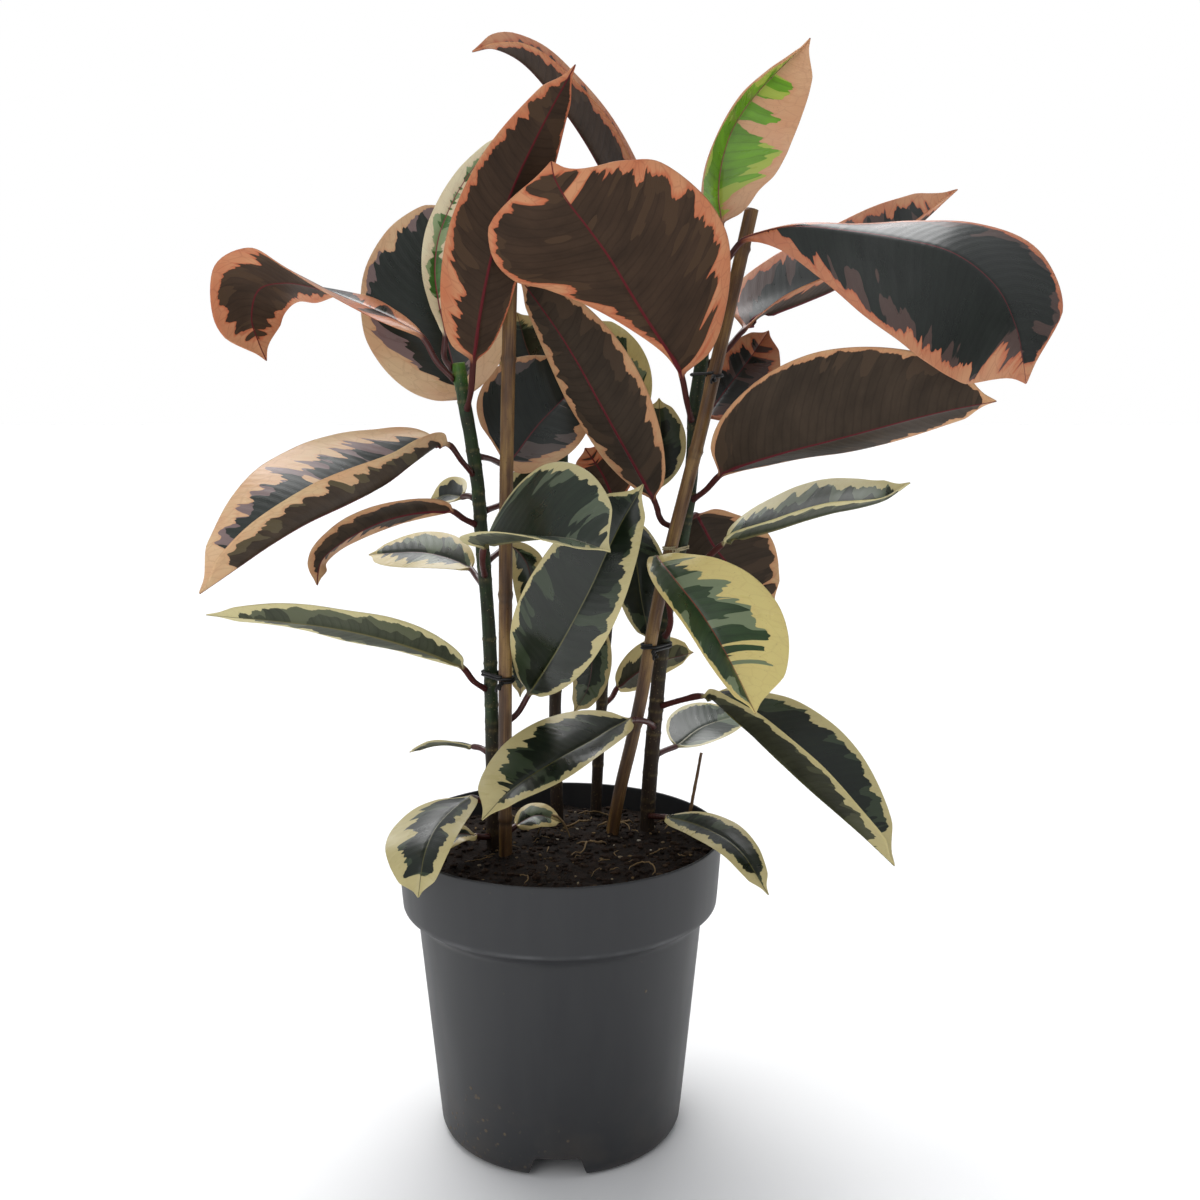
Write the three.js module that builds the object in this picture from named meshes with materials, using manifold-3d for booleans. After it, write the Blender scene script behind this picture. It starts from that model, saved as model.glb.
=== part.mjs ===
// A rubber plant, Ficus elastica, with pink and cream variegated leaves, in a moulded nursery pot.
// Millimetres, +Z up, origin on the pot's axis at the plane that the pot stands on.
// The plant's front looks along -Y, so +X is to the right of someone facing it.

import * as THREE from 'three';
import { mergeVertices } from 'three/addons/utils/BufferGeometryUtils.js';
import Module from 'manifold-3d';

const wasm = await Module();
wasm.setup();

// ---------------------------------------------------------------- driving dimensions

// Pot: a thin tapered shell with a deep collar, on four drain channels.
const potRimRadius = 105;
const potHeight = 197;
const potBaseRadius = 79;
const potWall = 1.6;
const potTaper = 0.095;
const collarHeight = 44;
const collarFlare = 3;
const collarStep = 8;
const collarSlip = 0.24;
const footRound = 5;
const potFloor = 2.6;
const potSides = 48;
const channelCount = 4;
const channelMouth = 38;
const channelRoof = 28;
const channelHeight = 14;
const channelLength = 24;
const channelOvershoot = 6;
const drainHoleRadius = 5;

// Soil: fills the pot to a little under the rim.
const headspace = 17;
const soilMound = 4;
const soilGap = 0.35;
const plantingDepth = 70;
const stalkDepth = 15;

// Stems, canes and what ties them.
const seatGap = 0.04;
const stemSides = 10;
const caneSides = 8;
const tieThickness = 1.4;
const tieClearance = 0.7;

// Leaves.
const petioleRadius = 1.9;
const petioleStub = 5;
const petioleRise = 1;
const petioleLean = 0.4;
const leafThickness = 1.2;
const ribDepth = 1.5;
const ribWidth = 1.6;

const soilLevel = potHeight - headspace;

// The plant's points below were laid out round a rim of this radius, at this height. The whole
// plant rises or sinks with the real rim, and the leaves that hang over it move out with it.
const plannedRimRadius = 105;
const plannedRimHeight = 197;
const rise = potHeight - plannedRimHeight;
const overRim = potRimRadius / plannedRimRadius;

// ---------------------------------------------------------------- small helpers

const rad = THREE.MathUtils.degToRad;
const vec = (p) => new THREE.Vector3(p[0], p[1], p[2]);
const planted = (p) => new THREE.Vector3(p[0], p[1], p[2] + rise);
const plant = new THREE.Group();

const finishes = {
  pot: { color: '#3e4042', roughness: 0.5, metalness: 0 },
  soil: { color: '#1a120c', roughness: 1, metalness: 0 },
  stem: { color: '#33421f', roughness: 0.6, metalness: 0 },
  cane: { color: '#8a6a42', roughness: 0.65, metalness: 0 },
  tie: { color: '#111111', roughness: 0.5, metalness: 0 },
  twine: { color: '#cfc4a4', roughness: 0.9, metalness: 0 },
  leaf: { color: '#46503a', roughness: 0.4, metalness: 0 },
};

function addPart(name, geometry, finish) {
  const mesh = new THREE.Mesh(geometry, new THREE.MeshStandardMaterial(finishes[finish]));
  mesh.name = name;
  plant.add(mesh);
}

function closedGeometry(positions, triangles) {
  const geometry = new THREE.BufferGeometry();
  geometry.setAttribute('position', new THREE.Float32BufferAttribute(positions, 3));
  geometry.setIndex(triangles);
  return geometry;
}

function toSolid(geometry) {
  const bare = geometry.clone();
  bare.deleteAttribute('normal');
  bare.deleteAttribute('uv');
  const merged = mergeVertices(bare, 1e-4);
  const vertProperties = new Float32Array(merged.attributes.position.array);
  const triVerts = new Uint32Array(merged.index.array);
  return new wasm.Manifold(new wasm.Mesh({ numProp: 3, vertProperties, triVerts }));
}

function toGeometry(solid) {
  const mesh = solid.getMesh();
  return closedGeometry(Array.from(mesh.vertProperties), Array.from(mesh.triVerts));
}

// Joins a list of rings, each with the same number of points, into one closed skin. Each end is
// closed by a fan round the middle of its ring. Rings run anticlockwise, seen from the far end.
function skinRings(rings) {
  const count = rings[0].length;
  const positions = rings.flat().flatMap((p) => [p.x, p.y, p.z]);
  const triangles = [];
  for (let i = 0; i + 1 < rings.length; i += 1) {
    for (let j = 0; j < count; j += 1) {
      const next = (j + 1) % count;
      const a = i * count + j;
      const b = i * count + next;
      triangles.push(a, b, b + count, a, b + count, a + count);
    }
  }
  const lastRing = rings.length - 1;
  [0, lastRing].forEach((ringIndex) => {
    const middle = new THREE.Vector3();
    rings[ringIndex].forEach((p) => middle.addScaledVector(p, 1 / count));
    const centre = positions.length / 3;
    positions.push(middle.x, middle.y, middle.z);
    for (let j = 0; j < count; j += 1) {
      const a = ringIndex * count + j;
      const b = ringIndex * count + ((j + 1) % count);
      triangles.push(centre, ringIndex === 0 ? b : a, ringIndex === 0 ? a : b);
    }
  });
  return closedGeometry(positions, triangles);
}

// A round bar along a curve, whose radius is a function of the share of the way along it.
function roundBar(curve, radiusAt, sides, steps) {
  const rings = [];
  const side = new THREE.Vector3(1, 0, 0);
  for (let i = 0; i <= steps; i += 1) {
    const share = i / steps;
    const centre = curve.getPointAt(share);
    const along = curve.getTangentAt(share);
    side.addScaledVector(along, -side.dot(along)).normalize();
    const other = new THREE.Vector3().crossVectors(along, side);
    const ring = [];
    for (let j = 0; j < sides; j += 1) {
      const turn = (2 * Math.PI * j) / sides;
      const point = centre.clone();
      point.addScaledVector(side, radiusAt(share) * Math.cos(turn));
      point.addScaledVector(other, radiusAt(share) * Math.sin(turn));
      ring.push(point);
    }
    rings.push(ring);
  }
  return skinRings(rings);
}

// ---------------------------------------------------------------- stems and canes

// An upright piece, from where it leaves the soil, [x, y], and the hand-chosen points of its
// centre line above that. Its foot is set into the soil.
function upright(foot, points, footRadius, topRadius, sides, steps, depth = plantingDepth) {
  const buried = [...foot, soilLevel - depth];
  const ground = [...foot, soilLevel];
  const curve = new THREE.CatmullRomCurve3([...[buried, ground].map(vec), ...points.map(planted)]);
  const radiusAt = (share) => footRadius + (topRadius - footRadius) * share;
  return { curve, radiusAt, sides, steps };
}

const leftStem = upright([-44, 3], [
  [-44, 4, 256], [-45, 5, 322], [-49, 5, 386], [-52, 5, 430], [-58, 5, 467],
  [-62, 6, 496],
], 4.6, 4.1, stemSides, 16);

const rightStem = upright([58, 42], [
  [60, 38, 222], [64, 34, 276], [70, 31, 336], [80, 29, 386], [86, 28, 436],
  [86, 28, 462], [90, 28, 492], [95, 28, 530], [99, 28, 568],
], 5.4, 3.9, stemSides, 18);

const backLeftStem = upright([-4, 58], [
  [-5, 60, 260], [-3, 62, 340], [0, 61, 410], [2, 60, 476],
], 4.6, 3.6, stemSides, 12);

const backRightStem = upright([23, 80], [
  [27, 79, 260], [33, 76, 340], [40, 72, 400], [45, 70, 462],
], 4.2, 3.4, stemSides, 12);

const leftCane = upright([-35, -11], [
  [-34, -9, 300], [-32, -7, 430], [-28, -4, 560],
], 4.3, 4.3, caneSides, 10);

const rightCane = upright([34, 31], [
  [52, 24, 272], [63, 17, 340], [74, 14, 390], [87, 13, 442], [104, 14, 517],
  [120, 16, 590],
], 4.3, 4.3, caneSides, 14);

const dryStalk = upright([85, 38], [
  [90, 41, 208], [95, 43, 236],
], 1.3, 1.0, 6, 6, stalkDepth);

// The middle and radius of an upright at a height, found by halving the way along it.
function sectionAt(piece, height) {
  let low = 0;
  let high = 1;
  for (let i = 0; i < 40; i += 1) {
    const half = (low + high) / 2;
    if (piece.curve.getPointAt(half).z < height) low = half;
    else high = half;
  }
  return { centre: piece.curve.getPointAt(low), radius: piece.radiusAt(low) };
}

const uprights = {
  stem_left: [leftStem, 'stem'],
  stem_right: [rightStem, 'stem'],
  stem_back_left: [backLeftStem, 'stem'],
  stem_back_right: [backRightStem, 'stem'],
  cane_left: [leftCane, 'cane'],
  cane_right: [rightCane, 'cane'],
  dry_stalk: [dryStalk, 'cane'],
};

Object.entries(uprights).forEach(([name, [piece, finish]]) => {
  addPart(name, roundBar(piece.curve, piece.radiusAt, piece.sides, piece.steps), finish);
});

// ---------------------------------------------------------------- ties

// A flat band that goes once round a stem and its cane, at a height of the planned plant.
function addTie(name, stem, cane, at, bandHeight, finish) {
  const height = at + rise;
  const a = sectionAt(stem, height);
  const b = sectionAt(cane, height);
  const heading = Math.atan2(b.centre.y - a.centre.y, b.centre.x - a.centre.x);
  const loop = (grow) => {
    const path = [];
    [[b, heading], [a, heading + Math.PI]].forEach(([end, middle]) => {
      for (let i = 0; i <= 6; i += 1) {
        const turn = middle + rad(-90 + 30 * i);
        const reach = end.radius + tieClearance + grow;
        const x = end.centre.x + reach * Math.cos(turn);
        path.push(new THREE.Vector2(x, end.centre.y + reach * Math.sin(turn)));
      }
    });
    return path;
  };
  const band = new THREE.Shape(loop(tieThickness));
  band.holes.push(new THREE.Path(loop(0)));
  const geometry = new THREE.ExtrudeGeometry(band, { depth: bandHeight, bevelEnabled: false });
  geometry.translate(0, 0, height - bandHeight / 2);
  addPart(name, geometry, finish);
}

addTie('tie_left', leftStem, leftCane, 299, 2.6, 'tie');
addTie('tie_right', rightStem, rightCane, 314, 2.6, 'tie');
addTie('tie_right_top', rightStem, rightCane, 489, 2, 'tie');
addTie('twine_right', rightStem, rightCane, 379, 2, 'twine');

// ---------------------------------------------------------------- pot and soil

// A solid turned from an outline of [radius, height] points that starts and ends on the axis.
function turned(outline, sides) {
  const points = outline.map(([r, z]) => new THREE.Vector2(r, z));
  const geometry = new THREE.LatheGeometry(points, sides);
  geometry.rotateX(Math.PI / 2);
  return toSolid(geometry);
}

const collarBottom = potHeight - collarHeight;
const wallRadiusAt = (z) => potBaseRadius + potTaper * z;
const collarRadius = potRimRadius - collarFlare;

const potOutside = turned([
  [0, 0], [potBaseRadius - footRound, 0], [potBaseRadius - footRound * 0.3, footRound * 0.3],
  [wallRadiusAt(footRound), footRound], [wallRadiusAt(collarBottom - collarStep), collarBottom - collarStep],
  [collarRadius - collarSlip, collarBottom - 1], [collarRadius, collarBottom],
  [potRimRadius, potHeight - 1], [potRimRadius - 0.4, potHeight], [0, potHeight],
], potSides);

// The inside of the pot, drawn in from the outside by one wall, or by a little more for the soil.
function potInside(shrink, top) {
  const inset = potWall + shrink;
  const step = collarBottom - collarStep;
  return turned([
    [0, potFloor + shrink], [potBaseRadius - footRound, potFloor + shrink],
    [wallRadiusAt(footRound + potFloor) - inset, footRound + potFloor + shrink],
    [wallRadiusAt(step) - inset, step + shrink],
    [collarRadius - inset, collarBottom + shrink],
    [potRimRadius - inset - collarFlare * ((potHeight - top) / collarHeight), top], [0, top],
  ], potSides);
}

// The drain channels are flat-topped grooves that run in from the foot, wider at the ground.
function drainChannels(grow) {
  const half = channelMouth / 2 + grow;
  const roof = channelRoof / 2 + grow;
  const section = new THREE.Shape();
  section.moveTo(-half, -1);
  section.lineTo(half, -1);
  section.lineTo(roof, channelHeight + grow);
  section.lineTo(-roof, channelHeight + grow);
  const length = channelLength + grow + channelOvershoot;
  const groove = new THREE.ExtrudeGeometry(section, { depth: length, bevelEnabled: false });
  groove.rotateX(Math.PI / 2);
  groove.translate(0, -potBaseRadius + channelLength + grow, 0);
  let all = null;
  for (let i = 0; i < channelCount; i += 1) {
    const copy = groove.clone().rotateZ((2 * Math.PI * i) / channelCount);
    const solid = toSolid(copy);
    all = all ? all.add(solid) : solid;
  }
  return all;
}

function drainHoles() {
  let all = null;
  const reach = potBaseRadius - channelLength / 2 - 2;
  for (let i = 0; i < channelCount; i += 1) {
    const turn = (2 * Math.PI * i) / channelCount - Math.PI / 2;
    const hole = new THREE.CylinderGeometry(drainHoleRadius, drainHoleRadius, channelHeight * 2, 12);
    hole.rotateX(Math.PI / 2);
    hole.translate(reach * Math.cos(turn), reach * Math.sin(turn), channelHeight);
    const solid = toSolid(hole);
    all = all ? all.add(solid) : solid;
  }
  return all;
}

const potSpace = potInside(0, potHeight + 1).subtract(drainChannels(potWall));
const pot = potOutside.subtract(potSpace).subtract(drainChannels(0)).subtract(drainHoles());
addPart('pot', toGeometry(pot), 'pot');

// The soil follows the inside of the pot and has a hole for each upright set into it.
function soilBody() {
  let body = potInside(soilGap, soilLevel).subtract(drainChannels(potWall + soilGap));
  const mound = new THREE.SphereGeometry(1, 24, 12, 0, 2 * Math.PI, 0, Math.PI);
  mound.rotateX(Math.PI / 2);
  mound.scale(potRimRadius - 18, potRimRadius - 18, soilMound);
  mound.translate(0, 0, soilLevel - 1);
  body = body.add(toSolid(mound));
  Object.values(uprights).forEach(([piece]) => {
    const wider = (share) => piece.radiusAt(share) + soilGap;
    const hole = roundBar(piece.curve, wider, piece.sides, piece.steps);
    body = body.subtract(toSolid(hole));
  });
  return body;
}

addPart('soil', toGeometry(soilBody()), 'soil');

// ---------------------------------------------------------------- leaves

// Places along a blade, from its foot to its tip, where it gets a ring.
const stations = [0, 0.05, 0.15, 0.29, 0.44, 0.59, 0.73, 0.85, 0.94, 1];

// Half the width of a blade, as a share of its widest: oblong, with a short drawn-out tip. widest
// is how far along the blade that widest place lies.
function bladeOutline(share, widest) {
  const bulge = Math.log(0.5) / Math.log(widest);
  const body = Math.sin(Math.PI * share ** bulge);
  return Math.max(body, 0) ** 0.62;
}

// A leaf half bends up from the rib by its fold, then goes on bending by its curl.
function acrossLeaf(distance, width, fold, curl) {
  const start = rad(fold);
  const total = rad(curl);
  if (Math.abs(total) < 1e-3 || width < 1e-3) {
    return [distance * Math.cos(start), distance * Math.sin(start), start];
  }
  const turn = (total * distance) / width;
  const out = (width / total) * (Math.sin(start + turn) - Math.sin(start));
  const up = (width / total) * (Math.cos(start) - Math.cos(start + turn));
  return [out, up, start + turn];
}

// The ring of one station: four points up the right side and over the top, four back below, with
// the rib standing out underneath between two flanks.
const ringPlan = [
  [1, 0], [0.55, 1], [0, 1], [-0.55, 1], [-1, 0], [-0.55, -1],
  ['flank', -1], ['crest', -1], ['flank', 1], [0.55, -1],
];
const petioleTurns = [0, 48, 90, 132, 180, 222, 248, 270, 292, 318];

function leafRing(centre, side, face, shape, share) {
  const thin = leafThickness / 2;
  const ribScale = 1 - 0.6 * share;
  return ringPlan.map(([where, level]) => {
    const point = centre.clone();
    if (where === 'crest') {
      return point.addScaledVector(face, -thin - ribDepth * ribScale * shape.ribFade);
    }
    const hand = where === 'flank' ? level : Math.sign(where);
    const half = hand < 0 ? 0 : 1;
    const width = Math.max(shape.widths[half], 0.8);
    const reach = where === 'flank' ? Math.min(ribWidth * ribScale, width * 0.4) : Math.abs(where) * width;
    const [out, up, lean] = acrossLeaf(reach, width, shape.fold[half], shape.curl[half]);
    const lift = where === 'flank' ? -thin : level * thin;
    point.addScaledVector(side, hand * (out - lift * Math.sin(lean)));
    return point.addScaledVector(face, up + lift * Math.cos(lean));
  });
}

function petioleRing(centre, side, face, radius) {
  return petioleTurns.map((degrees) => {
    const point = centre.clone();
    point.addScaledVector(side, radius * Math.cos(rad(degrees)));
    return point.addScaledVector(face, radius * Math.sin(rad(degrees)));
  });
}

// One leaf: a round petiole off its stem at a height, then a blade along its rib.
// half, fold and curl each give the left half first, seen from above with the tip ahead.
// face gives the way that the upper side looks, at the foot of the blade and at its tip, and
// foldTip the fold that the blade has come to at its tip. On a rib that bends sideways, slant
// turns the veins from square to the rib towards square to the whole blade.
function addLeaf(name, stem, at, leaf) {
  const { way = [], rib, half, face, fold = [12, 12], curl = [0, 0], widest = [0.47, 0.47] } = leaf;
  const { foldTip = fold, slant = 0 } = leaf;
  const seat = sectionAt(stem, at + rise);
  const firstStop = planted(way.length ? way[0] : rib[0]);
  const heading = firstStop.clone().sub(seat.centre).setZ(0).normalize();
  const away = seat.radius + seatGap + petioleRadius * petioleLean;
  const start = seat.centre.clone().addScaledVector(heading, away);
  const stub = start.clone().addScaledVector(heading, petioleStub);
  stub.add(new THREE.Vector3(0, 0, petioleRise));
  const stops = [start, stub, ...way.map(planted), ...rib.map(planted)];
  const curve = new THREE.CatmullRomCurve3(stops, false, 'centripetal');
  curve.arcLengthDivisions = 400;
  const footShare = arcShareOfStop(curve, stops.length - rib.length);
  const faces = Array.isArray(face[0]) ? face.map(vec) : [vec(face), vec(face)];
  faces.forEach((f) => f.normalize());
  const bladeWay = planted(rib[rib.length - 1]).sub(planted(rib[0])).normalize();

  const bladeRings = stations.map((share) => {
    const along = footShare + (1 - footShare) * share;
    const tangent = curve.getTangentAt(along);
    if (slant > 0 && share > 0) tangent.lerp(bladeWay, slant * share).normalize();
    const up = faces[0].clone().lerp(faces[1], share);
    up.addScaledVector(tangent, -up.dot(tangent)).normalize();
    const side = new THREE.Vector3().crossVectors(tangent, up);
    const centre = curve.getPointAt(along);
    const folds = fold.map((degrees, hand) => degrees + (foldTip[hand] - degrees) * share);
    if (share === 0) return { ring: petioleRing(centre, side, up, petioleRadius), up };
    const least = share === 1 ? 0.5 : 1;
    const widths = half.map((w, hand) => Math.max(w * bladeOutline(share, widest[hand]), least));
    const ribFade = share < 0.94 ? 1 : 0.3;
    return { ring: leafRing(centre, side, up, { widths, fold: folds, curl, ribFade }, share), up };
  });

  const petioleRings = [];
  let up = bladeRings[0].up;
  const steps = 2 + way.length * 2;
  for (let i = steps - 1; i >= 0; i -= 1) {
    const along = (footShare * i) / steps;
    const tangent = curve.getTangentAt(along);
    up = up.clone().addScaledVector(tangent, -up.dot(tangent)).normalize();
    const side = new THREE.Vector3().crossVectors(tangent, up);
    petioleRings.unshift(petioleRing(curve.getPointAt(along), side, up, petioleRadius));
  }
  const rings = [...petioleRings, ...bladeRings.map((b) => b.ring)];
  addPart(name, skinRings(rings.map((ring) => ring.reverse())), 'leaf');
}

// How far along a curve, as a share of its length, one of the points that it goes through lies.
function arcShareOfStop(curve, index) {
  const lengths = curve.getLengths();
  const place = (index / (curve.points.length - 1)) * (lengths.length - 1);
  const low = Math.floor(place);
  const high = Math.min(low + 1, lengths.length - 1);
  const length = lengths[low] + (lengths[high] - lengths[low]) * (place - low);
  return length / lengths[lengths.length - 1];
}

// Leaves of the left stem, from its top down.
const leftLeaves = [
  [492, { rib: [[-70, 8, 512], [-76, 10, 545], [-74, 10, 570], [-58, 6, 603], [-30, 0, 634]],
    half: [9, 10], face: [0, -1, 0.2], fold: [10, 10] }],
  [486, { rib: [[-82, -2, 510], [-130, 15, 535], [-172, 40, 548], [-200, 62, 545], [-208, 74, 526],
    [-200, 78, 500]], half: [34, 32], face: [[-0.1, -0.3, 0.95], [-0.4, 0.9, 0]], fold: [8, 8],
    widest: [0.6, 0.6] }],
  [476, { rib: [[-62, 34, 474], [-72, 44, 505], [-78, 50, 545], [-70, 50, 575], [-58, 48, 598]],
    half: [52, 50], face: [0, -1, 0.1], fold: [6, 6] }],
  [468, { rib: [[-51, -14, 495], [-43, -28, 535], [-30, -37, 580], [-10, -40, 622], [12, -36, 662]],
    half: [23, 28], face: [-0.3, 1, 0], fold: [20, 20], widest: [0.42, 0.38] }],
  [438, { rib: [[-36, 28, 432], [-14, 41, 458], [20, 50, 492]],
    half: [45, 29], face: [0, -1, 0.1], fold: [8, 8] }],
  [428, { rib: [[-66, -18, 446], [-100, -46, 424], [-147, -78, 401], [-197, -98, 366]],
    half: [40, 58], face: [-0.2, 0.1, 1], fold: [22, 55], curl: [8, -15] }],
  [412, { rib: [[-62, 16, 412], [-74, 30, 412], [-86, 42, 408]],
    half: [15, 15], face: [0.1, -0.8, 0.6] }],
  [404, { rib: [[-30, 26, 410], [-20, 38, 416], [-6, 50, 420]],
    half: [15, 15], face: [0, -1, 0.3] }],
  [396, { rib: [[-65, -12, 405], [-95, -28, 404], [-122, -40, 393], [-140, -48, 378],
    [-142, -50, 364]], half: [18, 22], face: [-0.2, 0.5, 0.85] }],
  [372, { rib: [[-34, 26, 380], [-22, 36, 366], [-20, 40, 345], [-24, 42, 325]],
    half: [12, 12], face: [0, -1, 0.1] }],
  [364, { rib: [[-45, -26, 384], [-20, -52, 392], [8, -74, 394], [32, -88, 388]],
    half: [50, 42], face: [-0.25, -0.15, 0.95], fold: [45, 24] }],
  [356, { rib: [[-58, 26, 364], [-90, 48, 372], [-132, 66, 369]],
    half: [20, 20], face: [0, -0.6, 0.8] }],
  [290, { rib: [[-60, -12, 306], [-95, -34, 326], [-130, -50, 338], [-165, -58, 344],
    [-205, -62, 348]], half: [22, 24], face: [0, 0.55, 0.83] }],
  [264, { rib: [[-20, 0, 286], [0, -26, 321], [20, -38, 360], [36, -40, 395], [52, -35, 423]],
    half: [36, 24], face: [0, -0.95, 0.3], fold: [10, 14] }],
  [246, { rib: [[-58, 22, 246], [-82, 40, 243], [-105, 52, 234]],
    half: [10, 10], face: [0, 0.2, 1] }],
  [214, { rib: [[-54 * overRim, -36 * overRim, 229], [-70 * overRim, -65 * overRim, 222],
    [-76 * overRim, -88 * overRim, 211], [-78 * overRim, -104 * overRim, 191]],
    half: [20, 30], face: [-0.2, -0.4, 0.9], fold: [10, -5] }],
  [192, { rib: [[-54, -12, 196], [-64, -22, 200], [-74, -34, 194]],
    half: [9, 9], face: [0, -0.5, 0.9] }],
  [190, { rib: [[-30, 14, 194], [-16, 20, 199], [0, 22, 194]],
    half: [11, 11], face: [0, -0.5, 0.9] }],
];

// Leaves of the right stem, from its top down.
const rightLeaves = [
  [566, { rib: [[101, 14, 580], [98, 6, 600], [100, 0, 617], [107, -5, 637], [121, -8, 655],
    [137, -8, 671], [150, -8, 684]],
    half: [20, 36], face: [[0, -1, 0.1], [0.5, -0.85, 0.2]], fold: [40, 8], foldTip: [80, 8],
    widest: [0.36, 0.46] }],
  [552, { rib: [[112, -4, 568], [134, -14, 575], [174, -28, 571], [199, -41, 565], [225, -51, 557],
    [249, -57, 539], [264, -57, 513], [272, -54, 482]],
    half: [54, 66], face: [[0, -0.9, 0.4], [0.2, -0.95, 0.25]], fold: [-40, 0], foldTip: [-14, 0],
    slant: 0.45, widest: [0.8, 0.66] }],
  [505, { rib: [[82, 40, 520], [56, 42, 560], [28, 30, 616], [11, 22, 641], [-8, 14, 663],
    [-31, 5, 681], [-50, -2, 678]], half: [38, 40], face: [0.6, 0.1, 0.6], fold: [15, 50] }],
  [496, { rib: [[119, 44, 518], [140, 58, 531], [185, 75, 549], [228, 85, 580], [267, 90, 614]],
    half: [46, 26], face: [-0.4, -0.2, 0.85], fold: [45, 30], widest: [0.42, 0.42] }],
  [461, { rib: [[77, 3, 487], [50, -22, 527], [26, -44, 562], [10, -59, 580], [1, -66, 594],
    [-1, -68, 603]],
    half: [66, 56], face: [0.1, 1, 0.2], fold: [4, 4], widest: [0.48, 0.79] }],
  [452, { rib: [[96, 46, 462], [108, 60, 478], [126, 72, 500], [140, 78, 520]],
    half: [20, 28], face: [0, -1, 0.1] }],
  [410, { rib: [[101, 5, 426], [124, -14, 437], [174, -38, 452], [223, -55, 466], [253, -62, 472]],
    half: [34, 54], face: [0, 0.9, 0.4], fold: [45, 8] }],
  [396, { rib: [[90, 46, 398], [104, 58, 375], [128, 70, 348], [148, 78, 332]],
    half: [32, 34], face: [0, 0.9, 0.4] }],
  [391, { way: [[66, 24, 396]], rib: [[60, 4, 411], [32, 2, 461], [5, 6, 508], [-25, 12, 550]],
    half: [30, 26], face: [0.5, 0.8, 0.1], fold: [30, 15] }],
  [359, { rib: [[104, 10, 382], [140, -2, 395], [164, -8, 403], [200, -15, 412], [216, -18, 423]],
    half: [30, 24], face: [-0.3, 0.15, 0.94], fold: [50, 15] }],
  [320, { way: [[71, 6, 335], [66, -2, 358]],
    rib: [[61, -14, 376], [70, -38, 367], [88, -58, 345], [104, -70, 318], [116, -80, 293]],
    half: [42, 22], face: [[-0.3, -0.6, 0.7], [0.2, -0.9, 0.4]], fold: [5, 40],
    widest: [0.6, 0.5] }],
  [272, { rib: [[92, 6, 284], [109, -10, 273], [131, -25, 257], [162, -42, 231], [185, -52, 212],
    [205, -58, 193]], half: [45, 32], face: [0.6, 0.1, 0.75], fold: [60, 30] }],
  [258, { way: [[60, 20, 262]], rib: [[46, 2, 269], [20, -30, 263], [-8, -58, 254], [-28, -78, 245],
    [-42, -92, 233]], half: [20, 32], face: [-0.1, -0.5, 0.85], fold: [12, 12] }],
  [236, { rib: [[78, 52, 238], [97, 72, 246], [128, 95, 250]],
    half: [24, 24], face: [0, -0.3, 0.95] }],
  [194, { rib: [[70, 8, 202], [92 * overRim, -30 * overRim, 207],
    [110 * overRim, -62 * overRim, 204], [124 * overRim, -92 * overRim, 188]],
    half: [13, 15], face: [-0.1, -0.45, 0.88] }],
];

// Leaves of the two stems at the back, from the top down.
const backLeftLeaves = [
  [466, { rib: [[-8, 66, 480], [-22, 72, 505], [-30, 78, 532]], half: [22, 24], face: [0, -1, 0.2] }],
  [340, { rib: [[-12, 54, 345], [-20, 47, 330], [-26, 44, 300], [-28, 42, 275]],
    half: [10, 12], face: [0, -1, 0] }],
  [326, { rib: [[12, 58, 334], [20, 56, 308], [18, 53, 280], [8, 52, 262]],
    half: [14, 14], face: [0, -1, 0] }],
];
const backRightLeaves = [
  [450, { rib: [[50, 62, 460], [40, 68, 492], [22, 76, 528]], half: [16, 20], face: [0, -1, 0.1] }],
  [410, { rib: [[56, 64, 414], [66, 68, 440], [66, 74, 475]], half: [18, 18], face: [0, -1, 0.1] }],
  [398, { rib: [[35, 62, 406], [28, 56, 424], [16, 54, 442]], half: [22, 22], face: [0, 0.9, 0.3] }],
  [384, { rib: [[46, 62, 392], [50, 54, 370], [54, 50, 340], [60, 48, 312]],
    half: [20, 16], face: [0, -1, 0] }],
  [262, { rib: [[38, 92, 270], [62, 108, 284], [95, 125, 290]], half: [22, 20], face: [0, 0.85, 0.5] }],
];

const foliage = {
  leaf_left: [leftStem, leftLeaves],
  leaf_right: [rightStem, rightLeaves],
  leaf_back_left: [backLeftStem, backLeftLeaves],
  leaf_back_right: [backRightStem, backRightLeaves],
};

Object.entries(foliage).forEach(([name, [stem, leaves]]) => {
  leaves.forEach(([at, shape], i) => {
    addLeaf(`${name}_${String(i + 1).padStart(2, '0')}`, stem, at, shape);
  });
});

export default plant;
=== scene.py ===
# %% [markdown]
# # A potted rubber plant
# This notebook dresses a finished CAD model of a rubber plant, Ficus elastica, in a moulded nursery
# pot. The model is loaded as a fixed frame, and every detailed piece is made in the same place as
# the CAD part that it stands for. We go from the light to the leaves, then to the stems, canes and
# ties, and end with the pot and its soil.

import math
import random

import bmesh
import bpy
from mathutils import Matrix, Vector, noise


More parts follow.
